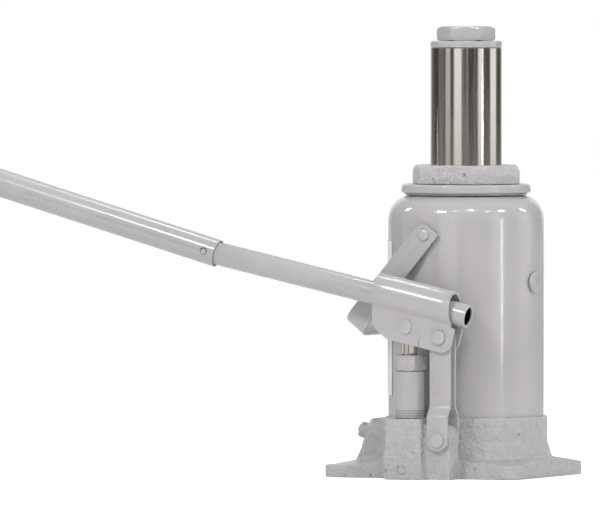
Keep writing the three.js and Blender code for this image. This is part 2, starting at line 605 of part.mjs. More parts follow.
function socketLever() {
  const foot = -socket.earFoot - 4;
  const [radius, inner, axisUp, earGap] = [socketRadius, socketInner, socketAxisUp, earIn];
  const dip = (r, y) => axisUp - Math.sqrt(r * r - y * y);
  const angleAt = (r, y) => Math.atan2(dip(r, y) - axisUp, y);
  const section = new THREE.Shape()
    .moveTo(earOut, foot).lineTo(earOut, dip(radius, earOut))
    .absarc(0, axisUp, radius, angleAt(radius, earOut), Math.PI - angleAt(radius, earOut), false)
    .lineTo(-earOut, foot).lineTo(-earGap, foot).lineTo(-earGap, dip(inner, earGap))
    .absarc(0, axisUp, inner, Math.PI - angleAt(inner, earGap), angleAt(inner, earGap), true)
    .lineTo(earGap, foot).closePath();
  const folded = prism(section, -90, 30, 14).rotateX(Math.PI / 2).rotateZ(Math.PI / 2);
  const crease = axisUp - radius;
  const rear = pin.radius + socket.earEnd;
  const side = outline([
    [socket.mouth, axisUp + 20], [socket.rearTop - 1, axisUp + 20],
    [socket.rearLow, crease + 1], [rear, crease + 1, 2], [rear, -socket.earFoot, 9],
    [socket.mouth + 20.4, -socket.earFoot, 10], [socket.mouth + 5.9, 8 - socket.earFoot, 8],
    [socket.mouth + 1.8, crease]]);
  const shaped = common(folded, standing(side, -30, 30));
  const hole = alongY(rod(pin.radius + RUN, -30, 30, FINE));
  return cut(shaped, hole.clone(), hole.clone().translate(...plungerPinLocal.toArray()));
}

const rocker = new THREE.Group();
rocker.position.copy(linkPin);
rocker.rotation.y = socketTilt;
root.add(rocker);

function linkagePieces() {
  const lowPlace = [linkPin.x, pumpY, link.lowZ];
  piece("link_near", linkStrap(-1), finish.paint, lowPlace);
  piece("link_far", linkStrap(1), finish.paint, lowPlace);
  const lowReach = lug.thick / 2 + link.spread + link.thick;
  piece("lower_link_pin", headedPin(lowReach), finish.paint, lowPlace);
  piece("lower_pin_clip", pinClip(lowReach), finish.steel, lowPlace);
  piece("socket_lever", socketLever(), finish.paint, [0, 0, 0], rocker);
  piece("upper_link_pin", headedPin(earOut), finish.paint, [0, 0, 0], rocker);
  piece("upper_pin_clip", pinClip(earOut), finish.steel, [0, 0, 0], rocker);
  const plungerPlace = plungerPinLocal.toArray();
  piece("plunger_pin", headedPin(earOut), finish.paint, plungerPlace, rocker);
  piece("plunger_pin_clip", pinClip(earOut), finish.steel, plungerPlace, rocker);
}

// ---------------------------------------------------------------- handle
function handlePieces() {
  const axisZ = socketAxisUp - socket.play + handle.rests;
  const inner = handle.radius - handle.wall;
  const neckEnd = handle.entry - handle.neckLength;
  const taper = 4;
  const neck = handle.radius - handle.neckLess;
  const neckBore = neck - handle.neckWall;
  const sleeveInner = handle.radius + handle.outerPlay;
  const sleeveOuter = sleeveInner + handle.outerWall;
  const tube = alongX(turned([
    [neckBore, neckEnd], [neck, neckEnd], [neck, handle.entry - taper],
    [handle.radius, handle.entry], [handle.radius, handle.rear], [inner, handle.rear],
    [inner, handle.entry], [neckBore, handle.entry - taper]]));
  const buttonX = handle.entry + handle.overlap - detent.back;
  const buttonHole = alongY(rod(detent.radius + RUN, 0, 30, FINE)).translate(buttonX, 0, 0);
  piece("handle_inner", cut(tube, buttonHole), finish.paint, [0, 0, axisZ], rocker);

  const outer = new THREE.Group();
  outer.position.set(handle.entry, 0, axisZ);
  outer.rotation.y = THREE.MathUtils.degToRad(handle.kink);
  rocker.add(outer);
  const sleeve = alongX(ring(sleeveInner, sleeveOuter, -handle.outerLength, handle.overlap));
  const sleeveHole = alongY(rod(detent.radius + 2 * RUN, 0, 30, FINE))
    .translate(handle.overlap - detent.back, 0, 0);
  piece("handle_outer", cut(sleeve, sleeveHole), finish.paint, [0, 0, 0], outer);

  const buttonTop = sleeveOuter + detent.proud;
  const buttonLow = neckBore - detent.sink;
  piece("detent_button", alongY(rod(detent.radius, buttonLow, buttonTop, FINE, 0.8)),
    finish.paint, [buttonX, 0, axisZ], rocker);
  const [leafOut, t, long] = [buttonLow - GAP, detent.leaf, detent.leafLong];
  const leaf = new THREE.Shape([
    [-long, -leafOut], [2, -leafOut], [2, -leafOut + t], [t - long, -leafOut + t],
    [t - long, leafOut - t], [2, leafOut - t], [2, leafOut], [-long, leafOut],
  ].map(([x, y]) => new THREE.Vector2(x, y)));
  piece("detent_spring", prism(leaf, -detent.leafWide / 2, detent.leafWide / 2), finish.steel,
    [buttonX, 0, axisZ], rocker);
}

// ---------------------------------------------------------------- carry bail
function bailPieces() {
  const droop = THREE.MathUtils.degToRad(bail.droop);
  const inside = tankRadius + bail.side;
  const half = bail.width / 2;
  const clear = tankRadius + bail.rest + bail.x;
  const reach = (clear + half * Math.sin(droop)) / Math.cos(droop);
  const outside = inside + bail.thick;
  const [end, far] = [bail.end, reach + bail.thick];
  const strap = outline([
    [end, -outside], [end, -inside], [-reach, -inside, bail.bend], [-reach, inside, bail.bend],
    [end, inside], [end, outside], [-far, outside, bail.bend + bail.thick],
    [-far, -outside, bail.bend + bail.thick]]);
  const side = outline([[-far - 5, -half], [end, -half, 9], [end, half, 9], [-far - 5, half]]);
  const flat = common(prism(strap, -half, half, 6), standing(side, -outside - 5, outside + 5));
  const hole = alongY(rod(stud.radius + RUN, -outside - 5, outside + 5, FINE));
  const carrier = new THREE.Group();
  carrier.position.set(bail.x, 0, tank.top - bail.belowTop);
  root.add(carrier);
  const strapMesh = piece("carry_bail", cut(flat, hole), finish.paint, [0, 0, 0], carrier);
  strapMesh.rotation.y = -droop;
  const [face, weld] = [outside + GAP, tankRadius + GAP];
  const shaft = () => turned([[0, weld], [stud.radius, weld], [stud.radius, face],
    [stud.head, face], [stud.head, face + stud.headThick - 0.7],
    [stud.head - 1.2, face + stud.headThick], [0, face + stud.headThick]], FINE + 4);
  piece("bail_stud_near", alongY(shaft()), finish.paint, [0, 0, 0], carrier);
  piece("bail_stud_far", alongY(shaft()).rotateZ(Math.PI), finish.paint, [0, 0, 0], carrier);
}

// ---------------------------------------------------------------- release valve
function releaseValve() {
  const holder = new THREE.Group();
  holder.position.copy(valveTip);
  holder.rotation.y = THREE.MathUtils.degToRad(valve.tilt);
  root.add(holder);
  const mid = valve.length * 0.6;
  const deep = valve.radius - valve.groove;
  const spindle = alongX(turned([
    [0, 0], [valve.radius - 1, 0], [valve.radius, 1], [valve.radius, mid], [deep, mid],
    [deep, mid + valve.ringHeight + 2 * GAP], [valve.radius, mid + valve.ringHeight + 2 * GAP],
    [valve.radius, valve.length - 4], [valve.point, valve.length - valve.point],
    [0, valve.length - valve.point],
  ]));
  const wide = valve.radius + 1;
  const slots = [0, Math.PI / 2].map((turn) =>
    block(-1, -wide, -valve.slot / 2, valve.slotDeep, wide, valve.slot / 2).rotateX(turn + 0.5));
  piece("release_valve", cut(spindle, ...slots), finish.steel, [0, 0, 0], holder);
  piece("release_seal_ring", alongX(ring(deep + GAP, valve.radius + 0.1, mid + GAP,
    mid + GAP + valve.ringHeight)), finish.rubber, [0, 0, 0], holder);
  piece("release_ball", new THREE.SphereGeometry(valve.ball, 10, 6), finish.bright,
    [valveBallAt, 0, 0], holder);
}

basePieces();
topPieces();
ramPieces();
pumpPieces();
linkagePieces();
handlePieces();
bailPieces();
releaseValve();

export default root;
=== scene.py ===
"""Visual model of a hydraulic bottle jack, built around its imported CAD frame.

Shapes are made in millimetres in the frame's axes and handed over in metres.
"""

import logging
import math
from collections.abc import Callable, Sequence
from dataclasses import dataclass, field
from enum import Enum

import bmesh
import bpy
from mathutils import Matrix, Vector, noise


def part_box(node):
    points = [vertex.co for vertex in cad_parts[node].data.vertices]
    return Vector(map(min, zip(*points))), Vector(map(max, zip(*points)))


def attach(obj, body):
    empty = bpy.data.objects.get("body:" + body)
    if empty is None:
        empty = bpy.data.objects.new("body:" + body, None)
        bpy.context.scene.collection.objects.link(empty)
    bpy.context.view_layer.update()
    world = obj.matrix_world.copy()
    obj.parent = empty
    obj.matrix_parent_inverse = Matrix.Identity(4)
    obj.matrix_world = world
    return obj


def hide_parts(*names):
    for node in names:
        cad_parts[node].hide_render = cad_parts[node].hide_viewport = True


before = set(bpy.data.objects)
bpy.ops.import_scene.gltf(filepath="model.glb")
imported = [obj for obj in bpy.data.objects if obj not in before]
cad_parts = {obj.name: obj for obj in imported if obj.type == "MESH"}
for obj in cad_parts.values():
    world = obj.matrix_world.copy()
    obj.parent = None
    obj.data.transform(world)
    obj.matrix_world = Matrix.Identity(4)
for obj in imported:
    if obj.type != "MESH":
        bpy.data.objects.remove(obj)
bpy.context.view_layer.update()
MM = 0.001
GAP = 0.3  # clearance between neighbouring pieces, in millimetres
Point2 = tuple[float, float]
Colour = tuple[float, float, float, float]
BMesh, BMVert = bmesh.types.BMesh, bmesh.types.BMVert
Material, Node, Socket = bpy.types.Material, bpy.types.Node, bpy.types.NodeSocket
LOG = logging.getLogger("jack")


class Body(Enum):
    """Bodies of the record that carry a made piece."""

    BASE = "base"
    RAM = "ram"
    SCREW = "screw"
    PLUNGER = "plunger"
    LINKS = "links"
    LEVER = "lever"
    HANDLE = "handle"
    DETENT = "detent"
    BAIL = "bail"
    RELEASE_SCREW = "release_screw"
    FILLER = "filler"


class Slot(Enum):
    """Material slots of the record, named for the made pieces."""

    PAINT = "grey_paint"
    CAST = "cast_paint"
    BRIGHT = "bright_steel"
    PLAIN = "plain_steel"
    BLACK_RUBBER = "black_rubber"
    LABEL = "white_label"


class Join(Enum):
    """Ways to combine two solids."""

    ADD = "UNION"
    CUT = "DIFFERENCE"
    KEEP = "INTERSECT"


# ---------------------------------------------------------------- outlines
def rounded(points: Sequence[Sequence[float]], steps: int) -> list[Point2]:
    """Rounds the corners of a closed outline.

    Args:
        points: Corners as (x, y) or (x, y, radius).
        steps: Segments in each rounded corner.

    Returns:
        The outline with an arc in place of each corner that has a radius.
    """
    out: list[Point2] = []
    for index, point in enumerate(points):
        radius = point[2] if len(point) > 2 else 0.0
        here = Vector(point[:2])
        if radius <= 0:
            out.append((here.x, here.y))
            continue
        back = (Vector(points[index - 1][:2]) - here).normalized()
        ahead = (Vector(points[(index + 1) % len(points)][:2]) - here).normalized()
        half = back.angle(ahead) / 2
        reach = radius / math.tan(half)
        centre = here + (back + ahead).normalized() * (radius / math.sin(half))
        first, last = here + back * reach - centre, here + ahead * reach - centre
        start = math.atan2(first.y, first.x)
        sweep = math.atan2(last.y, last.x) - start
        sweep = (sweep + math.pi) % (2 * math.pi) - math.pi
        for step in range(steps + 1):
            angle = start + sweep * step / steps
            out.append((centre.x + radius * math.cos(angle),
                        centre.y + radius * math.sin(angle)))
    return out


def arc(centre: Point2, radius: float, first: float, last: float,
        steps: int) -> list[Point2]:
    """Points on an arc.

    Args:
        centre: Centre of the arc.
        radius: Its radius.
        first: Angle of the first point, in degrees.
        last: Angle of the last point, in degrees.
        steps: Number of segments.

    Returns:
        The points from first to last.
    """
    turns = [math.radians(first + (last - first) * i / steps) for i in range(steps + 1)]
    return [(centre[0] + radius * math.cos(t), centre[1] + radius * math.sin(t))
            for t in turns]


def stadium(wide: float, high: float, steps: int) -> list[Point2]:
    """Outline with two straight and two half-round sides.

    Args:
        wide: Overall width.
        high: Overall height.
        steps: Segments in each half round.

    Returns:
        The outline, centred on the origin.
    """
    radius = min(wide, high) / 2
    away_x, away_y = wide / 2 - radius, high / 2 - radius
    turn = 0 if away_x > away_y else 90
    right = arc((away_x, away_y), radius, -90 + turn, 90 + turn, steps)
    left = arc((-away_x, -away_y), radius, 90 + turn, 270 + turn, steps)
    return right + left


def hexagon(corner: float, spin: float = 0.0) -> list[Point2]:
    """Corners of a hexagon of that radius, turned by spin degrees."""
    turns = [math.radians(60 * i + spin) for i in range(6)]
    return [(corner * math.cos(t), corner * math.sin(t)) for t in turns]


# ---------------------------------------------------------------- shaping
def sides(shape: BMesh, rows: list[list[BMVert]]) -> None:
    """Joins each ring of points to the next with faces.

    Args:
        shape: The mesh that holds the points.
        rows: Rings with the same number of points.
    """
    for low, high in zip(rows, rows[1:]):
        for i in range(len(low)):
            j = (i + 1) % len(low)
            shape.faces.new((low[i], low[j], high[j], high[i]))


class Blank:
    """A mesh being shaped, in millimetres."""

    def __init__(self, shape: BMesh | bpy.types.Mesh) -> None:
        """Wraps a bmesh, which is used up, or a mesh."""
        if isinstance(shape, BMesh):
            bmesh.ops.recalc_face_normals(shape, faces=shape.faces[:])
            mesh = bpy.data.meshes.new("blank")
            shape.to_mesh(mesh)
            shape.free()
        else:
            mesh = shape
        self.obj = bpy.data.objects.new("blank", mesh)
        bpy.context.scene.collection.objects.link(self.obj)

    @classmethod
    def turned(cls, profile: Sequence[Point2], steps: int = 128) -> "Blank":
        """A solid turned about the Z axis.

        Args:
            profile: Points as (radius, z), from axis to axis or as a closed ring.
            steps: Segments around the axis.

        Returns:
            The turned blank.
        """
        shape = bmesh.new()
        rings: list[list[BMVert]] = []
        for radius, z in profile:
            if radius < 1e-6:
                rings.append([shape.verts.new((0, 0, z))])
                continue
            turns = [2 * math.pi * i / steps for i in range(steps)]
            rings.append([shape.verts.new((radius * math.cos(t),
                                           radius * math.sin(t), z)) for t in turns])
        pairs = list(zip(rings, rings[1:]))
        if len(rings[0]) > 1 and len(rings[-1]) > 1:
            pairs.append((rings[-1], rings[0]))
        for low, high in pairs:
            for i in range(steps):
                j = (i + 1) % steps
                corners = [low[i % len(low)], low[j % len(low)],
                           high[j % len(high)], high[i % len(high)]]
                unique = list(dict.fromkeys(corners))
                if len(unique) > 2:
                    shape.faces.new(unique)
        return cls(shape)

    @classmethod
    def prism(cls, outline: Sequence[Point2], low: float, high: float) -> "Blank":
        """An outline in the XY plane pushed up along Z.

        Args:
            outline: Corners of the outline.
            low: Z of the lower face.
            high: Z of the upper face.

        Returns:
            The prism.
        """
        shape = bmesh.new()
        rows = [[shape.verts.new((x, y, z)) for x, y in outline] for z in (low, high)]
        for row in rows:
            shape.faces.new(row)
        sides(shape, rows)
        return cls(shape)

    @classmethod
    def standing(cls, outline: Sequence[Point2], near: float, far: float) -> "Blank":
        """An outline in the XZ plane pushed along Y from near to far."""
        swap = Matrix(((1, 0, 0, 0), (0, 0, 1, 0), (0, 1, 0, 0), (0, 0, 0, 1)))
        return cls.prism(outline, near, far).moved(swap)

    @classmethod
    def rod(cls, radius: float, low: float, high: float, steps: int = 48) -> "Blank":
        """A plain round cutter or stem along Z."""
        return cls.turned([(0, low), (radius, low), (radius, high), (0, high)], steps)

    @classmethod
    def box(cls, low: Sequence[float], high: Sequence[float]) -> "Blank":
        """A block between two corners."""
        (x, y, z), (far_x, far_y, far_z) = low, high
        return cls.prism([(x, y), (far_x, y), (far_x, far_y), (x, far_y)], z, far_z)

    def _settle(self) -> "Blank":
        """Applies the modifiers of this blank."""
        graph = bpy.context.evaluated_depsgraph_get()
        mesh = bpy.data.meshes.new_from_object(self.obj.evaluated_get(graph))
        self.obj.modifiers.clear()
        old, self.obj.data = self.obj.data, mesh
        bpy.data.meshes.remove(old)
        return self

    def combined(self, how: Join, *others: "Blank") -> "Blank":
        """Adds, cuts or keeps what other blanks cover, and uses them up.

        Args:
            how: The way to combine.
            *others: The blanks to combine with this one.

        Returns:
            This blank.
        """
        for other in others:
            step = self.obj.modifiers.new("combine", "BOOLEAN")
            step.operation, step.object, step.solver = how.value, other.obj, "EXACT"
            self._settle()
            bpy.data.objects.remove(other.obj)
        return self

    def moved(self, *steps: Matrix) -> "Blank":
        """Moves the mesh by each matrix in turn."""
        for step in steps:
            self.obj.data.transform(step)
            if step.determinant() < 0:
                self.obj.data.flip_normals()
        self.obj.data.update()
        return self

    def bevelled(self, width: float, segments: int = 2, over: float = 30.0) -> "Blank":
        """Rounds the edges sharper than an angle.

        Args:
            width: Width of the bevel.
            segments: Segments across it.
            over: Smallest angle of an edge that is rounded, in degrees.

        Returns:
            This blank.
        """
        step = self.obj.modifiers.new("bevel", "BEVEL")
        step.width, step.segments = width, segments
        step.limit_method, step.angle_limit = "ANGLE", math.radians(over)
        step.use_clamp_overlap, step.miter_outer = True, "MITER_ARC"
        return self._settle()

    def remeshed(self, voxel: float) -> "Blank":
        """Rebuilds the surface on an even grid of that size."""
        step = self.obj.modifiers.new("remesh", "REMESH")
        step.mode, step.voxel_size, step.use_smooth_shade = "VOXEL", voxel, True
        return self._settle()

    def relaxed(self, rounds: int,
                where: Callable[[Vector], bool] | None = None) -> "Blank":
        """Softens edges by averaging neighbours.

        Args:
            rounds: Number of passes.
            where: Tells whether a place is softened; everywhere if None.

        Returns:
            This blank.
        """
        step = self.obj.modifiers.new("relax", "SMOOTH")
        step.iterations = rounds
        if where:
            group = self.obj.vertex_groups.new(name="soft")
            chosen = [v.index for v in self.obj.data.vertices if where(v.co)]
            group.add(chosen, 1.0, "REPLACE")
            step.vertex_group = group.name
        self._settle()
        self.obj.vertex_groups.clear()
        return self

    def shifted(self, move: Callable[[Vector, Vector], Vector]) -> "Blank":
        """Moves each point by a function of its place and normal.

        Args:
            move: Takes a point and its normal, and returns the new point.

        Returns:
            This blank.
        """
        mesh = self.obj.data
        normals = [v.normal.copy() for v in mesh.vertices]
        for vertex, normal in zip(mesh.vertices, normals):
            vertex.co = move(vertex.co, normal)
        mesh.update()
        return self

    def delivered(self, name: str, body: Body, finish: Material, slot: Slot,
                  nodes: Sequence[str] = (), sharp: float = 32.0) -> bpy.types.Object:
        """Makes the blank a finished piece that rides on a body.

        Args:
            name: Name of the piece.
            body: The body that carries it.
            finish: Its material.
            slot: The record's slot of that material; not used.
            nodes: CAD nodes that the piece stands for.
            sharp: Edges over this angle stay sharp, in degrees.

        Returns:
            The finished object, in metres.
        """
        piece, mesh = self.obj, self.obj.data
        mesh.transform(Matrix.Scale(MM, 4))
        mesh.shade_smooth()
        mesh.set_sharp_from_angle(angle=math.radians(sharp))
        mesh.materials.clear()
        mesh.materials.append(finish)
        piece.name = mesh.name = name
        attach(piece, body.value)
        if nodes:
            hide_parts(*nodes)
        LOG.info("%s: %d faces on %s", name, len(mesh.polygons), body.value)
        return piece


def turn(axis: str, degrees: float) -> Matrix:
    """Rotation matrix about a main axis."""
    return Matrix.Rotation(math.radians(degrees), 4, axis)


def shift(x: float, y: float, z: float) -> Matrix:
    """Translation matrix in millimetres."""
    return Matrix.Translation((x, y, z))


TO_FRONT = turn("X", 90)  # a part turned about Z faces -Y with its upper end
TO_RIGHT = turn("Y", 90)  # a part turned about Z faces +X with its upper end


def box_mm(node: str) -> tuple[Vector, Vector]:
    """Corners of a CAD node in millimetres."""
    low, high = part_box(node)
    return low / MM, high / MM


def middle(node: str) -> tuple[float, ...]:
    """Centre of a CAD node's box in millimetres."""
    return tuple((a + b) / 2 for a, b in zip(*box_mm(node)))


def lumps(place: Vector, size: float, seed: float) -> float:
    """Smooth random height of about -1 to 1 at a place.

    Args:
        place: The place, in millimetres.
        size: Size of the lumps, in millimetres.
        seed: Offset that makes one surface differ from another.

    Returns:
        The height.
    """
    return noise.noise(place / size + Vector((seed, seed * 0.7, -seed)))


def blob(place: Vector, centre: Vector, radius: float) -> float:
    """Height from 0 to 1 of a round blob."""
    away = (place - centre).length / radius
    return max(0.0, 1 - away * away) ** 2


@dataclass(frozen=True)
class Roughness:
    """Random lumps of two sizes on a cast or forged skin, in millimetres."""

    lump: float
    lump_size: float
    grit: float
    grit_size: float
    seeds: Point2

    def height(self, place: Vector) -> float:
        """Height of the skin at a place."""
        coarse = self.lump * lumps(place, self.lump_size, self.seeds[0])
        return coarse + self.grit * lumps(place, self.grit_size, self.seeds[1])


# ---------------------------------------------------------------- node wiring
class Wiring:
    """Adds nodes to a node tree and joins them."""

    def __init__(self, tree: bpy.types.NodeTree) -> None:
        """Works on one tree."""
        self.tree = tree

    def node(self, kind: str, settings: dict[str, object] | None = None,
             **inputs: object) -> Node:
        """Adds a node.

        Args:
            kind: The node's type name, without ShaderNode.
            settings: Attributes to set on it.
            **inputs: Socket values or sockets to join, with _ for a space.

        Returns:
            The node.
        """
        made = self.tree.nodes.new("ShaderNode" + kind)
        for key, value in (settings or {}).items():
            setattr(made, key, value)
        for key, value in inputs.items():
            name = key.replace("_", " ").strip()
            socket = made.inputs[int(name)] if name.isdigit() else made.inputs[name]
            self.feed(socket, value)
        return made

    def feed(self, socket: Socket, value: object) -> None:
        """Joins a socket to another, or sets its value."""
        if isinstance(value, Socket):
            self.tree.links.new(value, socket)
        else:
            socket.default_value = value

    def maths(self, operation: str, first: object, second: object,
              clamp: bool = False) -> Socket:
        """A Math node's output.

        Args:
            operation: The node's operation.
            first: First value or socket.
            second: Second value or socket.
            clamp: Whether the result stays from 0 to 1.

        Returns:
            The output socket.
        """
        made = self.tree.nodes.new("ShaderNodeMath")
        made.operation, made.use_clamp = operation, clamp
        self.feed(made.inputs[0], first)
        self.feed(made.inputs[1], second)
        return made.outputs[0]

    def times(self, first: object, second: object, clamp: bool = False) -> Socket:
        """The product of two values or sockets."""
        return self.maths("MULTIPLY", first, second, clamp)

    def plus(self, first: object, second: object, clamp: bool = False) -> Socket:
        """The sum of two values or sockets."""
        return self.maths("ADD", first, second, clamp)

    def spread(self, value: object, low: float, high: float, to_low: float = 0.0,
               to_high: float = 1.0, even: bool = False) -> Socket:
        """A clamped Map Range from low..high to to_low..to_high, with soft ends.

        Args:
            value: Value or socket.
            low: Start of the input range.
            high: End of the input range.
            to_low: Output at low.
            to_high: Output at high.
            even: Whether the range is linear, without soft ends.

        Returns:
            The result's socket.
        """
        way = "LINEAR" if even else "SMOOTHSTEP"
        made = self.node("MapRange", {"interpolation_type": way}, Value=value)
        for key, number in (("From Min", low), ("From Max", high),
                            ("To Min", to_low), ("To Max", to_high)):
            self.feed(made.inputs[key], number)
        return made.outputs["Result"]

    def mixed(self, factor: object, first: object, second: object) -> Socket:
        """A colour Mix node's output.

        Args:
            factor: Share of the second colour.
            first: First colour or socket.
            second: Second colour or socket.

        Returns:
            The output socket.
        """
        made = self.tree.nodes.new("ShaderNodeMix")
        made.data_type = "RGBA"
        for index, value in ((0, factor), (6, first), (7, second)):
            self.feed(made.inputs[index], value)
        return made.outputs[2]

    def noise(self, where: object, scale: object, detail: float,
              rough: float) -> Socket:
        """A Noise Texture's value.

        Args:
            where: Vector socket.
            scale: Scale, per metre of object.
            detail: Octaves.
            rough: Strength of the finer octaves.

        Returns:
            The value's socket.
        """
        made = self.node("TexNoise", None, Vector=where, Scale=scale, Detail=detail,
                         Roughness=rough)
        return made.outputs["Fac"]


class EffectGroup:
    """A shader node group with named inputs and outputs, built once."""

    title = "Effect"
    takes: dict[str, float] = {}
    gives: tuple[str, ...] = ()

    def __init__(self) -> None:
        """Builds the group's tree."""
        self.tree = bpy.data.node_groups.new(self.title, "ShaderNodeTree")
        face, kind = self.tree.interface, "NodeSocketFloat"
        for name, value in self.takes.items():
            socket = face.new_socket(name, in_out="INPUT", socket_type=kind)
            socket.default_value = value
        for name in self.gives:
            face.new_socket(name, in_out="OUTPUT", socket_type=kind)
        self.wiring = Wiring(self.tree)
        self.source = self.tree.nodes.new("NodeGroupInput").outputs
        self.target = self.tree.nodes.new("NodeGroupOutput").inputs
        self.where = self.wiring.node("TexCoord").outputs["Object"]
        self.build()

    def build(self) -> None:
        """Fills the tree."""
        raise NotImplementedError

    def give(self, name: str, socket: Socket) -> None:
        """Joins a socket to a named output."""
        self.tree.links.new(socket, self.target[name])

    def placed(self, wiring: Wiring, **inputs: object) -> Node:
        """A node of this group in a material, with its own values."""
        made = wiring.tree.nodes.new("ShaderNodeGroup")
        made.node_tree = self.tree
        for key, value in inputs.items():
            wiring.feed(made.inputs[key.replace("_", " ")], value)
        return made


class EdgeWear(EffectGroup):
    """Mask of rubbed edges, broken up by noise."""

    title = "Edge wear"
    takes = {"Amount": 0.5, "Start": 0.56, "End": 0.66, "Breakup": 300.0}
    gives = ("Mask",)

    def build(self) -> None:
        """Fills the tree."""
        w = self.wiring
        point = w.node("NewGeometry").outputs["Pointiness"]
        edge = w.node("MapRange", None, Value=point)
        w.feed(edge.inputs["From Min"], self.source["Start"])
        w.feed(edge.inputs["From Max"], self.source["End"])
        patches = w.noise(self.where, self.source["Breakup"], 5.0, 0.65)
        broken = w.spread(patches, 0.42, 0.62)
        mask = w.times(edge.outputs["Result"], broken)
        self.give("Mask", w.times(mask, self.source["Amount"], True))


class OrangePeel(EffectGroup):
    """Height and tone of sprayed enamel."""

    title = "Orange peel"
    takes = {"Size": 260.0, "Drift": 14.0}
    gives = ("Height", "Tone")

    def build(self) -> None:
        """Fills the tree."""
        w = self.wiring
        fine = w.noise(self.where, self.source["Size"], 2.0, 0.5)
        slow = w.noise(self.where, self.source["Drift"], 2.0, 0.5)
        self.give("Height", w.plus(w.times(fine, 0.35), w.times(slow, 1.4)))
        self.give("Tone", w.spread(slow, 0.3, 0.7, -1.0, 1.0))


class CastSkin(EffectGroup):
    """Height, pits and tone of painted sand-cast iron."""

    title = "Cast skin"
    takes = {"Grain": 330.0, "Lumps": 120.0, "Pits": 0.5}
    gives = ("Height", "Hollow", "Tone")

    def build(self) -> None:
        """Fills the tree."""
        w = self.wiring
        grain = w.noise(self.where, self.source["Grain"], 4.0, 0.7)
        lump = w.noise(self.where, self.source["Lumps"], 3.0, 0.6)
        cells = w.node("TexVoronoi", None, Vector=self.where,
                       Scale=self.source["Lumps"])
        pit = w.spread(cells.outputs["Distance"], 0.05, 0.2, 1.0, 0.0)
        picked = w.spread(w.noise(self.where, 90.0, 1.0, 0.5), 0.55, 0.62)
        hollow = w.times(w.times(pit, picked), self.source["Pits"])
        high = w.plus(w.times(grain, 0.9), w.times(lump, 1.3))
        self.give("Height", w.maths("SUBTRACT", high, hollow))
        # the enamel also uses this mask to darken its colour as painted shade in the
        # pits
        self.give("Hollow", hollow)
        self.give("Tone", w.spread(lump, 0.3, 0.7, -1.0, 1.0))


class LongMarks(EffectGroup):
    """Tone and height of fine marks along or around an axis."""

    title = "Long marks"
    takes = {"Across X": 1.0, "Across Y": 1.0, "Across Z": 1.0, "Fine": 900.0}
    gives = ("Height", "Tone", "Broad")

    def build(self) -> None:
        """Fills the tree."""
        w = self.wiring
        share = w.node("CombineXYZ", None, X=self.source["Across X"],
                       Y=self.source["Across Y"], Z=self.source["Across Z"]).outputs[0]
        drawn = w.node("VectorMath", {"operation": "MULTIPLY"})
        w.feed(drawn.inputs[0], self.where)
        w.feed(drawn.inputs[1], share)
        fine = w.noise(drawn.outputs[0], self.source["Fine"], 5.0, 0.7)
        broad = w.noise(drawn.outputs[0], 110.0, 3.0, 0.6)
        self.give("Height", fine)
        self.give("Tone", w.spread(fine, 0.35, 0.65, -1.0, 1.0))
        self.give("Broad", w.spread(broad, 0.35, 0.65, 0.0, 1.0))


class Dust(EffectGroup):
    """Mask of dust and grime that settles on faces that look up and in patches."""

    title = "Dust"
    takes = {"Amount": 0.3, "Patch": 40.0}
    gives = ("Mask",)

    def build(self) -> None:
        """Fills the tree."""
        w = self.wiring
        normal = w.node("TexCoord").outputs["Normal"]
        up = w.spread(w.node("SeparateXYZ", None, Vector=normal).outputs["Z"], 0.2, 1.0)
        patch = w.spread(w.noise(self.where, self.source["Patch"], 5.0, 0.65), 0.4, 0.7)
        low = w.plus(w.times(up, 0.8), 0.2)
        mask = w.times(low, patch)
        self.give("Mask", w.times(mask, self.source["Amount"], True))


@dataclass
class Effects:
    """The shared node groups."""

    wear: EdgeWear = field(default_factory=EdgeWear)
    peel: OrangePeel = field(default_factory=OrangePeel)
    cast: CastSkin = field(default_factory=CastSkin)
    marks: LongMarks = field(default_factory=LongMarks)
    dust: Dust = field(default_factory=Dust)


def colour(red: float, green: float, blue: float) -> Colour:
    """A linear colour from sRGB values of 0 to 255."""
    def linear(value: float) -> float:
        """One channel."""
        share = value / 255
        return share / 12.92 if share <= 0.04045 else ((share + 0.055) / 1.055) ** 2.4
    return (linear(red), linear(green), linear(blue), 1.0)


def shaded(base: Colour, gain: float) -> tuple[float, ...]:
    """A colour made lighter or darker by a factor."""
    return tuple(min(1.0, channel * gain) for channel in base[:3]) + (1.0,)


@dataclass(frozen=True)
class Finish:
    """What every finish shares: a name and a Principled shader."""

    name: str

    def started(self) -> tuple[Material, Wiring, Node]:
        """An empty node material, its wiring and its Principled shader."""
        material = bpy.data.materials.new(self.name)
        material.use_nodes = True
        tree = material.node_tree
        return material, Wiring(tree), tree.nodes["Principled BSDF"]

    def bumped(self, wiring: Wiring, shader: Node, height: Socket,
               distance: float) -> None:
        """Feeds a height to the shader's normal.

        Args:
            wiring: The material's wiring.
            shader: Its Principled shader.
            height: Height socket.
            distance: Depth of a height of 1, in metres.
        """
        bump = wiring.node("Bump", None, Height=height, Distance=distance, Strength=1.0)
        wiring.feed(shader.inputs["Normal"], bump.outputs["Normal"])


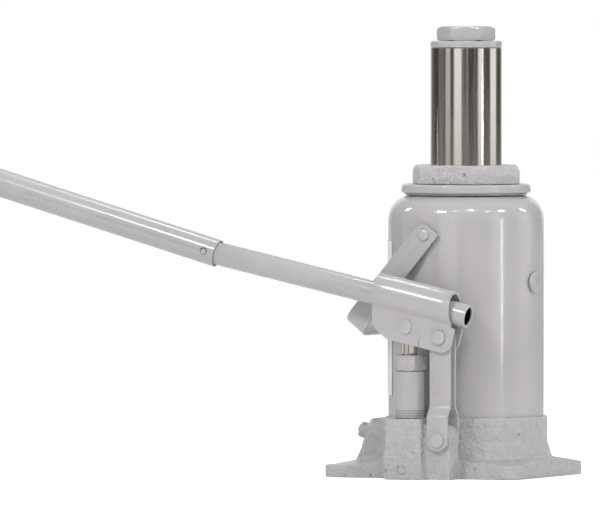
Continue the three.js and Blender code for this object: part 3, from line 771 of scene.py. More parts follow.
@dataclass(frozen=True)
class Enamel(Finish):
    """Glossy sprayed enamel over steel, with worn edges, a little dust and, on a cast
    skin, painted shade in its pits.
    """

    paint: Colour
    rough: float = 0.24
    peel: float = 0.00006
    wear: float = 0.35
    dust: float = 0.25
    cast: float = 0.0  # depth of the cast skin, in metres; 0 for a smooth ground
    shine: float = 0.6

    def made(self, effects: Effects) -> Material:
        """Builds the material.

        Args:
            effects: The shared node groups.

        Returns:
            The material.
        """
        material, w, shader = self.started()
        skin = effects.cast.placed(w, Pits=1.0) if self.cast else effects.peel.placed(w)
        worn = effects.wear.placed(w, Amount=self.wear).outputs["Mask"]
        dusty = effects.dust.placed(w, Amount=self.dust).outputs["Mask"]
        drift = w.spread(skin.outputs["Tone"], -1.0, 1.0)
        body = w.mixed(drift, shaded(self.paint, 0.97), shaded(self.paint, 1.03))
        if self.cast:
            # painted shade: the colour goes darker in the pits of the cast skin
            pit_shade = w.times(skin.outputs["Hollow"], 0.6)
            body = w.mixed(pit_shade, body, shaded(self.paint, 0.55))
        soiled = w.mixed(dusty, body, colour(150, 146, 138))
        base = w.mixed(worn, soiled, colour(120, 118, 116))
        w.feed(shader.inputs["Base Color"], base)
        gloss = w.spread(drift, 0.0, 1.0, self.rough * 0.85, self.rough * 1.2)
        dull = w.plus(gloss, w.times(dusty, 0.35))
        dull = w.plus(dull, w.times(worn, 0.1), True)
        w.feed(shader.inputs["Roughness"], dull)
        w.feed(shader.inputs["Metallic"], w.times(worn, 0.8))
        shader.inputs["Specular IOR Level"].default_value = self.shine
        self.bumped(w, shader, skin.outputs["Height"], self.cast or self.peel)
        return material


@dataclass(frozen=True)
class Steel(Finish):
    """Bare steel or brass with drawn or ground marks."""

    metal: Colour
    rough: float = 0.2
    across: tuple[float, float, float] = (1.0, 1.0, 0.02)
    depth: float = 0.000004
    stain: float = 0.15
    fine: float = 900.0

    def made(self, effects: Effects) -> Material:
        """Builds the material.

        Args:
            effects: The shared node groups.

        Returns:
            The material.
        """
        material, w, shader = self.started()
        across = {f"Across_{axis}": share for axis, share in zip("XYZ", self.across)}
        marks = effects.marks.placed(w, Fine=self.fine, **across)
        dusty = effects.dust.placed(w, Amount=self.stain, Patch=70.0).outputs["Mask"]
        worn = effects.wear.placed(w, Amount=0.5).outputs["Mask"]
        drift = w.spread(marks.outputs["Tone"], -1.0, 1.0)
        body = w.mixed(drift, shaded(self.metal, 0.9), shaded(self.metal, 1.06))
        clouds = w.times(marks.outputs["Broad"], 0.22)
        cloudy = w.mixed(clouds, body, shaded(self.metal, 0.72))
        soiled = w.mixed(dusty, cloudy, colour(84, 76, 64))
        base = w.mixed(worn, soiled, shaded(self.metal, 1.25))
        w.feed(shader.inputs["Base Color"], base)
        shader.inputs["Metallic"].default_value = 1.0
        level = w.spread(drift, 0.0, 1.0, self.rough * 0.75, self.rough * 1.3)
        dull = w.plus(level, w.times(dusty, 0.3), True)
        w.feed(shader.inputs["Roughness"], dull)
        self.bumped(w, shader, marks.outputs["Height"], self.depth)
        return material


@dataclass(frozen=True)
class Rubber(Finish):
    """Moulded rubber or plastic with a fine matt grain."""

    tint: Colour
    rough: float = 0.6
    grain: float = 0.00003
    dust: float = 0.3

    def made(self, effects: Effects) -> Material:
        """Builds the material.

        Args:
            effects: The shared node groups.

        Returns:
            The material.
        """
        material, w, shader = self.started()
        skin = effects.peel.placed(w, Size=1400.0, Drift=60.0)
        dusty = effects.dust.placed(w, Amount=self.dust, Patch=120.0).outputs["Mask"]
        worn = effects.wear.placed(w, Amount=0.25).outputs["Mask"]
        drift = w.spread(skin.outputs["Tone"], -1.0, 1.0)
        body = w.mixed(drift, shaded(self.tint, 0.85), shaded(self.tint, 1.12))
        soiled = w.mixed(dusty, body, colour(160, 156, 148))
        base = w.mixed(worn, soiled, shaded(self.tint, 1.5))
        w.feed(shader.inputs["Base Color"], base)
        dull = w.spread(drift, 0.0, 1.0, self.rough * 0.85, self.rough * 1.15)
        w.feed(shader.inputs["Roughness"], dull)
        self.bumped(w, shader, skin.outputs["Height"], self.grain)
        return material


@dataclass(frozen=True)
class Finishes:
    """Every material of the jack."""

    shell: Material
    fold: Material
    casting: Material
    nut: Material
    ram: Material
    plunger: Material
    screw: Material
    plain: Material
    # dark lining of the handle tubes: their unpainted steel darkened as painted shade
    # inside the bores
    bore: Material
    brass: Material
    black: Material
    plug: Material
    label: Material

    @classmethod
    def mixed(cls, effects: Effects) -> "Finishes":
        """Mixes the finishes from the shared node groups."""
        grey = colour(184, 182, 184)
        return cls(
            shell=Enamel("gloss grey enamel", grey, rough=0.13, wear=0.1, dust=0.04,
                         shine=0.7).made(effects),
            fold=Enamel("grey enamel on folded sheet", colour(182, 180, 182), rough=0.2,
                        peel=0.00004, wear=0.15, dust=0.06).made(effects),
            # the cast and forged finishes below carry painted shade in their pits
            casting=Enamel("grey enamel on cast iron", colour(203, 201, 202),
                           rough=0.13, wear=0.1, dust=0.1, cast=0.0034,
                           shine=0.8).made(effects),
            nut=Enamel("grey enamel on forged nut", colour(198, 196, 198), rough=0.13,
                       wear=0.1, dust=0.06, cast=0.0022, shine=0.8).made(effects),
            ram=Steel("ground ram steel", colour(214, 209, 203), rough=0.09,
                      stain=0.06).made(effects),
            plunger=Steel("polished plunger steel", colour(196, 190, 184), rough=0.09,
                          stain=0.2).made(effects),
            screw=Steel("oiled screw steel", colour(150, 146, 140), rough=0.32,
                        across=(0.2, 0.2, 1.0), depth=0.00001, stain=0.4).made(effects),
            plain=Steel("plain turned steel", colour(165, 163, 160), rough=0.34,
                        across=(1.0, 1.0, 1.0), depth=0.00001, stain=0.3).made(effects),
            # painted shade: a near-black steel for the linings inside the handle tubes
            bore=Steel("bore lining with painted shade", colour(52, 48, 46), rough=0.5,
                       across=(0.05, 1.0, 1.0), depth=0.00002, stain=0.4).made(effects),
            brass=Steel("turned brass", colour(198, 160, 92), rough=0.28,
                        across=(1.0, 1.0, 1.0), stain=0.3).made(effects),
            black=Rubber("black seal rubber", colour(30, 30, 31)).made(effects),
            plug=Enamel("grey enamel on rubber", colour(182, 180, 180), rough=0.34,
                        peel=0.0001, wear=0.0, dust=0.1).made(effects),
            label=Enamel("blank label film", colour(228, 227, 224), rough=0.3,
                         peel=0.00002, wear=0.0, dust=0.05, shine=0.5).made(effects),
        )


# ---------------------------------------------------------------- base casting
@dataclass
class BaseCasting:
    """The cast base: plate, collar, pump boss, link lug and valve boss."""

    finishes: Finishes
    voxel: float = 1.0
    rounds: int = 3
    skin: Roughness = Roughness(0.17, 7.0, 0.2, 2.6, (3.0, 9.0))
    smooth: float = 0.25  # share of the lumps inside the collar and on its rim
    foot: float = 0.6  # height of the flat machined foot
    foot_fade: float = 3.0
    collar_wall: float = 7.0
    drips: int = 70
    drip: float = 0.35
    drip_area: float = 6.0  # square of a drip's radius
    plate_top: float = 24.0
    step_end: float = -5.6
    step_top: float = 24.4
    step_round: float = 6.0
    step_proud: float = 1.55
    boss_x: float = -60.0  # the valve boss lies beyond this and over boss_z
    boss_z: float = 17.5
    boss_rounds: int = 45

    def build(self) -> None:
        """Builds the casting from its CAD solid with cast edges and skin."""
        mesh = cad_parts["base_casting"].data.copy()
        mesh.transform(Matrix.Scale(1 / MM, 4))
        low, high = box_mm("base_casting")
        noise.seed_set(7)
        beads = [Vector((low.x + (high.x - low.x) * noise.random(),
                         low.y + (high.y - low.y) * noise.random(), 0))
                 for _ in range(self.drips)]
        inside = box_mm("reservoir_tank")[1].x + self.collar_wall - 3

        def lifted(place: Vector, normal: Vector) -> Vector:
            """Lifts a point by the cast lumps and the drips of paint."""
            if place.z < self.foot:
                return place
            share = min(1.0, (place.z - self.foot) / self.foot_fade)
            if math.hypot(place.x, place.y) < inside or place.z > high.z - 0.5:
                share *= self.smooth
            height = self.skin.height(place)
            on_plate = normal.z > 0.5 and place.z < self.plate_top
            for bead in beads if on_plate else ():
                away = Vector((place.x - bead.x, place.y - bead.y)).length_squared
                height += self.drip * max(0.0, 1 - away / self.drip_area)
            return place + normal * height * share

        step = rounded([(self.step_end, -1), (9, -1), (9, 30), (-60, 30),
                        (-60, self.step_top), (self.step_end, self.step_top,
                                               self.step_round)], 8)
        front = Blank.standing(step, low.y - 1, low.y + self.step_proud)
        body = Blank(mesh).combined(Join.CUT, front)
        body.remeshed(self.voxel).relaxed(self.rounds)
        body.relaxed(self.boss_rounds,
                     lambda place: place.x < self.boss_x and place.z > self.boss_z)
        body.shifted(lifted).delivered(
            "base_casting_skin", Body.BASE, self.finishes.casting, Slot.CAST,
            ["base_casting"], sharp=180.0)
        self._intake_plug()

    def _intake_plug(self) -> None:
        """Builds the small plug in the front of the pump boss."""
        low, high = box_mm("intake_plug")
        x, _, z = middle("intake_plug")
        radius = (high.x - low.x) / 2
        length = high.y - low.y + self.step_proud - 0.2
        profile = [(0, 0), (radius, 0), (radius, length - 0.8),
                   (radius - 0.8, length - 0.1), (radius * 0.5, length), (0, length)]
        Blank.turned(profile, 48).moved(TO_FRONT, shift(x, high.y, z)).delivered(
            "intake_screw_plug", Body.BASE, self.finishes.casting, Slot.PLAIN,
            ["intake_plug"])


# ---------------------------------------------------------------- tank and top
@dataclass
class Tank:
    """The oil tank, its filler plug and its blank label."""

    finishes: Finishes
    wall: float = 3.0
    shoulder: float = 20.0
    mouth: float = 44.0
    filler_angle: float = -8.0
    filler_hole: float = 6.5
    spot: float = 0.35  # height of a paint spot on the filler plug
    spot_radius: float = 2.1
    label_first: float = 141.5
    label_last: float = 221.5
    label_thick: float = 0.35
    steps: int = 192

    def build(self) -> None:
        """Builds the three pieces."""
        low, high = box_mm("reservoir_tank")
        radius, inner = high.x, high.x - self.wall
        centre = (radius - self.shoulder, high.z - self.shoulder)
        profile = [(inner, low.z), (radius - 0.8, low.z), (radius, low.z + 0.8)]
        profile += arc(centre, self.shoulder, 0, 90, 14)
        profile += [(self.mouth, high.z), (self.mouth, high.z - self.wall)]
        profile += arc(centre, self.shoulder - self.wall, 90, 0, 10)
        plug_z = middle("filler_plug")[2]
        hole = Blank.rod(self.filler_hole, 40, 90).moved(
            TO_RIGHT, shift(0, 0, plug_z), turn("Z", self.filler_angle))
        Blank.turned(profile, self.steps).combined(Join.CUT, hole).delivered(
            "tank_shell", Body.BASE, self.finishes.shell, Slot.PAINT,
            ["reservoir_tank"])
        self._filler(radius, plug_z)
        self._label(radius)

    def _filler(self, radius: float, height: float) -> None:
        """Builds the moulded filler plug with its rings and paint spots."""
        profile = [(0, -5), (6.0, -5), (6.2, -4.6), (6.2, 0.9), (8.0, 0.9), (8.2, 1.1),
                   *arc((7.0, 1.9), 1.2, 0, 90, 5), (6.4, 3.1), (6.0, 2.5), (5.3, 2.5),
                   (4.9, 3.0), (3.3, 3.0), (2.9, 2.2), (0, 2.1)]
        spots = [Vector((x, y, 2.9)) for x, y in ((3.1, 5.0), (-4.9, 3.2), (4.6, -4.4),
                                                  (-1.0, -6.3))]

        def spotted(place: Vector, normal: Vector) -> Vector:
            """Raises the paint spots on the face."""
            rise = sum(blob(place, spot, self.spot_radius) for spot in spots)
            return place + Vector((0, 0, self.spot * rise)) if place.z > 1.5 else place

        Blank.turned(profile, 72).shifted(spotted).moved(
            TO_RIGHT, shift(radius, 0, 0), turn("Z", self.filler_angle),
            shift(0, 0, height)).delivered(
            "filler_plug_cap", Body.FILLER, self.finishes.plug, Slot.PAINT,
            ["filler_plug"])

    def _label(self, radius: float) -> None:
        """Builds the blank label as a thin curved sheet."""
        low, high = box_mm("label_blank")
        inner = radius + GAP
        first, last = self.label_first, self.label_last
        outline = arc((0, 0), inner + self.label_thick, first, last, 60)
        outline += arc((0, 0), inner, last, first, 60)
        Blank.prism(outline, low.z, high.z).bevelled(0.12, 2, 50).delivered(
            "tank_label_blank", Body.BASE, self.finishes.label, Slot.LABEL,
            ["label_blank"])


@dataclass
class TopFittings:
    """The glossy disc and the large hexagon nut that clamp the tank."""

    finishes: Finishes
    disc_round: float = 2.0
    skirt: float = 36.0
    bore: float = 34.0
    lip: float = 3.0
    ram_gap: float = 0.5
    lead_in: float = 1.2  # chamfer at the mouth of the nut
    inset: float = 0.8  # from the nut's flats to the rim of its top face
    voxel: float = 0.55
    skin: Roughness = Roughness(0.2, 6.0, 0.16, 2.0, (5.0, 2.0))
    steps: int = 128

    def build(self) -> None:
        """Builds the disc, the nut and the wiper ring."""
        ram = box_mm("ram")[1].x
        self._disc()
        self._nut(ram)
        self._wiper(ram)

    def _disc(self) -> None:
        """Builds the disc with its rounded rims."""
        low, high = box_mm("top_disc")
        mouth, curve = self.skirt + GAP, self.disc_round
        edge = high.x - curve
        profile = [(mouth, low.z), *arc((edge, low.z + curve), curve, -90, 0, 6),
                   *arc((edge, high.z - curve), curve, 0, 90, 6), (mouth, high.z)]
        Blank.turned(profile, 160).delivered(
            "top_disc_ring", Body.BASE, self.finishes.shell, Slot.PAINT, ["top_disc"])

    def _nut(self, ram: float) -> None:
        """Builds the forged nut around a ram of that radius."""
        low, high = box_mm("top_nut")
        foot = box_mm("top_disc")[1].z + GAP
        rim, wide = high.y - self.inset, high.x + 1
        shoulder = high.z - (wide - rim) * math.tan(math.radians(30))
        cone = Blank.turned([(0, foot - 1), (wide, foot - 1), (wide, shoulder),
                             (rim, high.z), (0, high.z)], self.steps)
        throat, shelf = ram + self.ram_gap, high.z - self.lip
        mouth = throat + self.lead_in
        bore = Blank.turned([(0, low.z - 1), (self.bore, low.z - 1), (self.bore, shelf),
                             (throat, shelf), (throat, high.z - self.lead_in),
                             (mouth, high.z + 0.1), (mouth, high.z + 1),
                             (0, high.z + 1)], self.steps)
        nut = Blank.prism(hexagon(high.x), foot, high.z).combined(Join.KEEP, cone)
        nut.combined(Join.ADD, Blank.rod(self.skirt, low.z, foot + 1, self.steps))
        nut.combined(Join.CUT, bore)

        def forged(place: Vector, normal: Vector) -> Vector:
            """Lifts the forged skin outside the bore."""
            if math.hypot(place.x, place.y) < self.skirt or place.z < foot + 0.3:
                return place
            return place + normal * self.skin.height(place)

        nut.remeshed(self.voxel).relaxed(2).shifted(forged).delivered(
            "top_nut_forging", Body.BASE, self.finishes.nut, Slot.CAST, ["top_nut"],
            sharp=180.0)

    def _wiper(self, ram: float) -> None:
        """Builds the wiper ring around a ram of that radius."""
        low, high = box_mm("ram_wiper")
        inner, outer = ram + GAP, high.x
        Blank.turned([(inner, low.z), (outer, low.z), (outer, high.z - 0.4),
                      (outer - 0.4, high.z), (inner + 1.4, high.z),
                      (inner, high.z - 1.4)], self.steps).delivered(
            "wiper_ring", Body.BASE, self.finishes.black, Slot.BLACK_RUBBER,
            ["ram_wiper"])


# ---------------------------------------------------------------- ram and screw
@dataclass
class Ram:
    """The ground ram, its painted stop ring and the lifting screw."""

    finishes: Finishes
    bore: float = 18.6
    bore_deep: float = 120.0
    core: float = 8.3  # hole through the foot of the ram
    shank: float = 18.0
    pitch: float = 8.0
    thread_deep: float = 2.1
    thread_fade: float = 3.0
    thread_row: float = 0.8
    head_flats: float = 21.5
    head_turn: float = 20.0
    steps: int = 160
    thread_steps: int = 72

    def build(self) -> None:
        """Builds the ram, the ring and the screw."""
        low, high = box_mm("ram")
        radius, floor = high.x, high.z - self.bore_deep
        profile = [(self.core, low.z), (radius - 1, low.z), (radius, low.z + 1),
                   (radius, high.z - 0.5), (radius - 0.5, high.z), (self.bore, high.z),
                   (self.bore, floor), (self.core, floor)]
        Blank.turned(profile, self.steps).delivered(
            "ram_tube", Body.RAM, self.finishes.ram, Slot.BRIGHT, ["ram"])
        low, high = box_mm("ram_stop_ring")
        profile = [(self.bore, low.z), (radius - 0.3, low.z), (radius, low.z + 0.3),
                   (radius, high.z - 1.2),
                   *arc((radius - 1.2, high.z - 1.2), 1.2, 0, 90, 5),
                   (self.bore, high.z)]
        Blank.turned(profile, self.steps).delivered(
            "ram_collar", Body.RAM, self.finishes.shell, Slot.PAINT, ["ram_stop_ring"])
        self._head(high.z + GAP)
        self._shank(high.z + GAP)

    def _head(self, foot: float) -> None:
        """Builds the screw's chamfered hexagon head, from that height up."""
        top = box_mm("extension_screw")[1].z
        corner = self.head_flats / math.cos(math.radians(30))
        rim, wide = self.head_flats - 0.4, corner + 1
        shoulder = top - (wide - rim) * math.tan(math.radians(30))
        cone = Blank.turned([(0, foot), (rim + 1.5, foot), (wide, foot + 1.4),
                             (wide, shoulder), (rim, top), (0, top)])
        Blank.prism(hexagon(corner, self.head_turn), foot, top).combined(
            Join.KEEP, cone).bevelled(0.5, 3).delivered(
            "screw_head", Body.SCREW, self.finishes.shell, Slot.PAINT,
            ["extension_screw"])

    def _radius(self, angle: float, z: float, fade: float) -> float:
        """Radius of the thread.

        Args:
            angle: Angle about the screw.
            z: Height.
            fade: Share of the thread's depth there.

        Returns:
            The radius.
        """
        phase = (z / self.pitch - angle / (2 * math.pi)) % 1
        crest = min(1.0, max(0.0, (abs(phase - 0.5) - 0.1) / 0.28))
        return self.shank - self.thread_deep * crest * fade

    def _shank(self, head: float) -> None:
        """Builds the screw's shank, with a groove for the ring and a thread.

        Args:
            head: Height of the foot of the head.
        """
        foot = box_mm("extension_screw")[0].z
        ring_low, ring_high = (corner.z for corner in box_mm("screw_keeper_ring"))
        ring_low, ring_high = ring_low - GAP, ring_high + GAP
        radius, groove = self.shank, self.shank - 2
        low, high = ring_high - GAP + 2.0, head - 4.0
        turns = [2 * math.pi * i / self.thread_steps for i in range(self.thread_steps)]
        rings = [(z, [size] * self.thread_steps) for z, size in (
            (foot, radius - 1), (foot + 1, radius), (ring_low, radius),
            (ring_low, groove), (ring_high, groove), (ring_high, radius))]
        rows = int((high - low) / self.thread_row)
        for row in range(rows + 1):
            z = low + (high - low) * row / rows
            fade = min(1.0, (z - low) / self.thread_fade, (high - z) / self.thread_fade)
            rings.append((z, [self._radius(t, z, fade) for t in turns]))
        rings += [(z, [size] * self.thread_steps) for z, size in (
            (high + 0.3, radius), (head - 1.2, radius), (head + 0.5, radius - 0.6))]
        shape = bmesh.new()
        grid = [[shape.verts.new((size * math.cos(t), size * math.sin(t), z))
                 for size, t in zip(sizes, turns)] for z, sizes in rings]
        sides(shape, grid)
        shape.faces.new(grid[0])
        shape.faces.new(grid[-1])
        Blank(shape).delivered("screw_shank", Body.SCREW, self.finishes.screw,
                               Slot.BRIGHT)


# ---------------------------------------------------------------- pump
@dataclass
class Pump:
    """The pump barrel, its hexagon cap and the plunger."""

    finishes: Finishes
    bore: float = 6.8
    grooves: int = 3
    groove_first: float = 1.1
    groove_pitch: float = 2.2
    groove_deep: float = 0.7
    thread: float = 10.0
    cap_turn: float = 12.0
    stem: float = 3.0  # radius of the plunger's lower end
    stem_long: float = 8.0
    eye: Point2 = (13.6, 10.2)

    def build(self) -> None:
        """Builds barrel, cap and plunger."""
        low, high = box_mm("pump_body")
        x, y, _ = middle("pump_body")
        radius = (high.x - low.x) / 2
        foot = box_mm("base_casting")[1].z + GAP
        profile = [(self.bore, low.z), (self.thread, low.z), (self.thread, foot),
                   (radius - 0.4, foot), (radius, foot + 0.4)]
        deep = radius - self.groove_deep
        for i in range(self.grooves):
            start = foot + self.groove_first + i * self.groove_pitch
            profile += [(radius, start), (deep, start + 0.35), (deep, start + 0.95),
                        (radius, start + 1.3)]
        seal_low, seal_high = box_mm("pump_gland_seal")
        seat, shelf = (seal_high.x - seal_low.x) / 2 + GAP, seal_low.z - GAP
        profile += [(radius, high.z - 0.6), (radius - 0.6, high.z), (seat, high.z),
                    (seat, shelf), (self.bore, shelf)]
        axis = shift(x, y, 0)
        Blank.turned(profile, 112).moved(axis).delivered(
            "pump_barrel", Body.BASE, self.finishes.shell, Slot.PAINT, ["pump_body"])
        self._cap(axis, radius - 0.5)
        self._plunger(axis)

    def _cap(self, axis: Matrix, flats: float) -> None:
        """Builds the hexagon cap with turned chamfers above and below.

        Args:
            axis: Place of the pump.
            flats: Distance from the axis to the flats.
        """
        low, high = (corner.z for corner in box_mm("pump_gland_cap"))
        corner, rim = flats / math.cos(math.radians(30)), flats - 0.7
        wide = corner + 1
        rise = (wide - rim) * math.tan(math.radians(32))
        cone = Blank.turned([(0, low), (rim, low), (wide, low + rise),
                             (wide, high - rise), (rim, high), (0, high)], 96)
        mouth = self.bore + 0.8
        bore = Blank.turned([(0, low - 1), (self.bore, low - 1),
                             (self.bore, high - 0.6), (mouth, high + 0.2),
                             (mouth, high + 1), (0, high + 1)], 64)
        cap = Blank.prism(hexagon(corner, self.cap_turn), low, high)
        cap.combined(Join.KEEP, cone).combined(Join.CUT, bore)
        cap.bevelled(0.35, 2, 24).moved(axis).delivered(
            "pump_cap", Body.BASE, self.finishes.shell, Slot.PAINT, ["pump_gland_cap"])

    def _plunger(self, axis: Matrix) -> None:
        """Builds the polished plunger, with its slotted eye, at that axis."""
        low, high = box_mm("plunger")
        pin_z = middle("plunger_pin")[2]
        radius, neck, end = (high.y - low.y) / 2, pin_z - 5.2, low.z + self.stem_long
        rod = Blank.turned([(0, end), (self.stem, end), (self.stem, low.z),
                            (radius - 0.6, low.z), (radius, low.z + 0.6),
                            (radius, neck), (0, neck)], 96)
        outline = stadium(high.x - low.x, 2 * (high.z - pin_z), 20)
        head = Blank.standing(outline, -radius, radius).moved(
            shift(0, 0, pin_z)).bevelled(1.6, 4)
        slot = Blank.standing(stadium(*self.eye, 20), -radius - 1, radius + 1).moved(
            shift(0, 0, pin_z))
        rod.combined(Join.ADD, head).combined(Join.CUT, slot).bevelled(0.3, 2, 60)
        rod.moved(axis).delivered("plunger_rod", Body.PLUNGER, self.finishes.plunger,
                                  Slot.BRIGHT, ["plunger"])


# ---------------------------------------------------------------- linkage
@dataclass
class Linkage:
    """Two joggled link straps, three headed pins and their clips."""

    finishes: Finishes
    thick: float = 3.0
    bend_low: float = 19.1
    bend_high: float = 29.6
    hole: float = 4.3
    shaft: float = 4.0
    head: float = 2.2
    dome: float = 0.5
    clip_first: float = 300.0
    clip_last: float = 600.0

    def build(self) -> None:
        """Builds the straps, pins and clips."""
        for node in ("link_near", "link_far"):
            self._strap(node)
        for pin, clip, body in (("lower_link_pin", "lower_pin_clip", Body.BASE),
                                ("upper_link_pin", "upper_pin_clip", Body.LEVER),
                                ("plunger_pin", "plunger_pin_clip", Body.LEVER)):
            self._pin(pin, body)
            self._clip(clip, pin, body)

    def _sliced(self, flat: Blank, half: float, length: float) -> BMesh:
        """Cuts a flat strap into bands, so that it can bend.

        Args:
            flat: The strap, which is used up.
            half: Half of its width.
            length: Distance between its holes.

        Returns:
            The strap with closer bands across the bend and none at the holes.
        """
        full, bend = length + 2 * half - 2, self.bend_high - self.bend_low + 6
        levels = [z for z in (1 - half + full * k / 39 for k in range(40))
                  if min(abs(z), abs(z - length)) >= half * 0.55]
        levels += [self.bend_low - 3 + bend * k / 11 for k in range(12)]
        shape = bmesh.new()
        shape.from_mesh(flat.obj.data)
        for z in levels:
            parts = shape.verts[:] + shape.edges[:] + shape.faces[:]
            bmesh.ops.bisect_plane(shape, geom=parts, plane_co=(0, 0, z),
                                   plane_no=(0, 0, 1))
        bpy.data.objects.remove(flat.obj)
        return shape

    def _strap(self, node: str) -> None:
        """Builds the strap that stands for a CAD node."""
        low, high = box_mm(node)
        x, y, _ = middle(node)
        mid_y, low_z = middle("pump_body")[1], middle("lower_link_pin")[2]
        half = (high.x - low.x) / 2
        length = middle("upper_link_pin")[2] - low_z
        top_in, outside = sorted((abs(low.y - mid_y), abs(high.y - mid_y)))
        low_in = outside - self.thick
        side = -1 if y < mid_y else 1
        outline = arc((0, length), half, 0, 180, 28) + arc((0, 0), half, 180, 360, 28)
        flat = Blank.standing(outline, 0, self.thick)
        for z in (0.0, length):
            flat.combined(Join.CUT, Blank.rod(self.hole, -30, 30, 40).moved(
                TO_FRONT, shift(0, 0, z)))

        def joggled(place: Vector, normal: Vector) -> Vector:
            """Steps the strap from the lug out to the ears."""
            share = (place.z - self.bend_low) / (self.bend_high - self.bend_low)
            share = min(1.0, max(0.0, share))
            share = share * share * (3 - 2 * share)
            inside = low_in + (top_in - low_in) * share
            return Vector((place.x, side * (inside + place.y), place.z))

        strap = Blank(self._sliced(flat, half, length)).shifted(joggled)
        if side < 0:
            strap.obj.data.flip_normals()
        strap.bevelled(0.55, 3, 50).moved(shift(x, mid_y, low_z)).delivered(
            node + "_strap", Body.LINKS, self.finishes.fold, Slot.PAINT, [node])

    def _pin(self, node: str, body: Body) -> None:
        """Builds a pin with a lightly domed head on the near side.

        Args:
            node: The CAD node it stands for.
            body: The body that carries it.
        """
        low, high = box_mm(node)
        x, _, z = middle(node)
        mid_y = middle("pump_body")[1]
        rim, shaft = (high.x - low.x) / 2, self.shaft
        front, back = mid_y - low.y, high.y - mid_y
        face, brow = front - self.head, front - self.dome - 0.7
        profile = [(0, -back), (shaft - 0.6, -back), (shaft, -back + 0.6),
                   (shaft, face), (rim - 0.3, face), (rim, face + 0.3), (rim, brow),
                   *arc((rim - 0.7, brow), 0.7, 0, 70, 4), (rim * 0.6, front - 0.15),
                   (rim * 0.25, front), (0, front)]
        Blank.turned(profile, 56).moved(TO_FRONT, shift(x, mid_y, z)).delivered(
            node + "_rivet", body, self.finishes.shell, Slot.PAINT, [node])

    def _clip(self, node: str, pin: str, body: Body) -> None:
        """Builds an open spring clip round the far end of a pin.

        Args:
            node: The CAD node it stands for.
            pin: The pin's CAD node.
            body: The body that carries it.
        """
        low, high = box_mm(node)
        x, _, z = middle(pin)
        first, last = self.clip_first, self.clip_last
        outline = arc((0, 0), (high.x - low.x) / 2 - 0.1, first, last, 36)
        outline += arc((0, 0), self.hole, last, first, 36)
        Blank.standing(outline, low.y, high.y).bevelled(0.2).moved(
            shift(x, 0, z)).delivered(
            node + "_spring", body, self.finishes.plain, Slot.PLAIN, [node])


# ---------------------------------------------------------------- lever and handle
@dataclass
class Lever:
    """The folded sheet socket that rocks on the upper link pin."""

    finishes: Finishes
    tilt: float = 12.5
    axis_up: float = 25.0
    radius: float = 15.5
    sheet: float = 2.5
    ear_gap: float = 7.3
    pin_back: float = 31.0
    pin_up: float = 2.0
    mouth: float = -66.4
    foot: float = -16.0
    crease_reach: float = 2.2
    press: float = 0.9
    press_below: float = 1.5  # the pressed step ends this far under the crease
    step_x: float = -13.5
    pin_hole: float = 4.3

    def __post_init__(self) -> None:
        """Finds the place of the link pin."""
        x, _, z = middle("upper_link_pin")
        self.place = shift(x, middle("pump_body")[1], z) @ turn("Y", self.tilt)
        self.crease = self.axis_up - self.radius

    def section(self) -> list[Point2]:
        """Keyhole section of the folded sheet in local Y and Z."""
        inner, gap = self.radius - self.sheet, self.ear_gap + self.sheet

        def dip(size: float, y: float) -> float:
            """Angle in degrees where a circle meets a distance from the middle."""
            return math.degrees(math.asin(-math.sqrt(size * size - y * y) / size))

        first, last = dip(self.radius, gap), dip(inner, self.ear_gap)
        outside = arc((0, self.axis_up), self.radius, first, 180 - first, 64)
        inside = arc((0, self.axis_up), inner, 180 - last, last, 64)
        rises = (self.foot, self.crease - 4.2, self.crease - 1.4)
        return [(gap, self.foot), *self._soft(outside, gap),
                *[(-gap, z) for z in reversed(rises)],
                *[(-self.ear_gap, z) for z in rises], *inside,
                (self.ear_gap, self.foot)]

    def _soft(self, points: list[Point2], gap: float) -> list[Point2]:
        """Rounds the crease between tube and ears.

        Args:
            points: Outside of the tube, from ear to ear.
            gap: Distance from the middle to the outside of an ear.

        Returns:
            The points, with two at each end that ease into the ear.
        """
        low, full = points[0][1], self.crease_reach
        near, far = (gap + 0.12, low - full * 0.45), (gap, low - full)
        end = points[-1][1]
        return [far, near, *points[1:-1], (-gap - 0.12, end - full * 0.45),
                (-gap, end - full)]

    def build(self) -> None:
        """Builds the folded socket."""
        crease = self.crease
        brow = crease - self.press_below
        shape = bmesh.new()
        xs = [self.mouth - 2, -50.0, -34.0, -24.0,
              *[-18.0 + 0.4 * k for k in range(20)], -4.0, 8.0, 20.0]
        section = self.section()

        def pressed(x: float, y: float, z: float) -> tuple[float, float, float]:
            """Presses the near ear out around the plunger pin, with a sharp step."""
            if y > 0.2 - self.ear_gap or z > brow:
                return (x, y, z)
            share = min(1.0, max(0.0, (self.step_x + 0.12 * z - x) / 1.4 + 0.5))
            top = min(1.0, max(0.0, (brow - z) / 2.6))
            return (x, y - self.press * share * top, z)

        rows = [[shape.verts.new(pressed(x, y, z)) for y, z in section] for x in xs]
        sides(shape, rows)
        shape.faces.new(rows[0])
        shape.faces.new(rows[-1])
        roof = self.axis_up + 20
        side = rounded([
            (self.mouth, roof), (1.2, roof), (8.9, crease + 1), (12.5, crease + 1, 2),
            (12.7, -12, 9), (-46, -12, 10), (-60.5, -4, 8),
            (self.mouth + 1.8, crease)], 8)
        tube = Blank(shape).combined(Join.KEEP, Blank.standing(side, -30, 30))
        for x, z in ((0.0, 0.0), (-self.pin_back, self.pin_up)):
            tube.combined(Join.CUT, Blank.rod(self.pin_hole, -30, 30, 40).moved(
                TO_FRONT, shift(x, 0, z)))
        tube.bevelled(0.5, 3, 40).moved(self.place).delivered(
            "socket_lever_fold", Body.LEVER, self.finishes.fold, Slot.PAINT,
            ["socket_lever"])


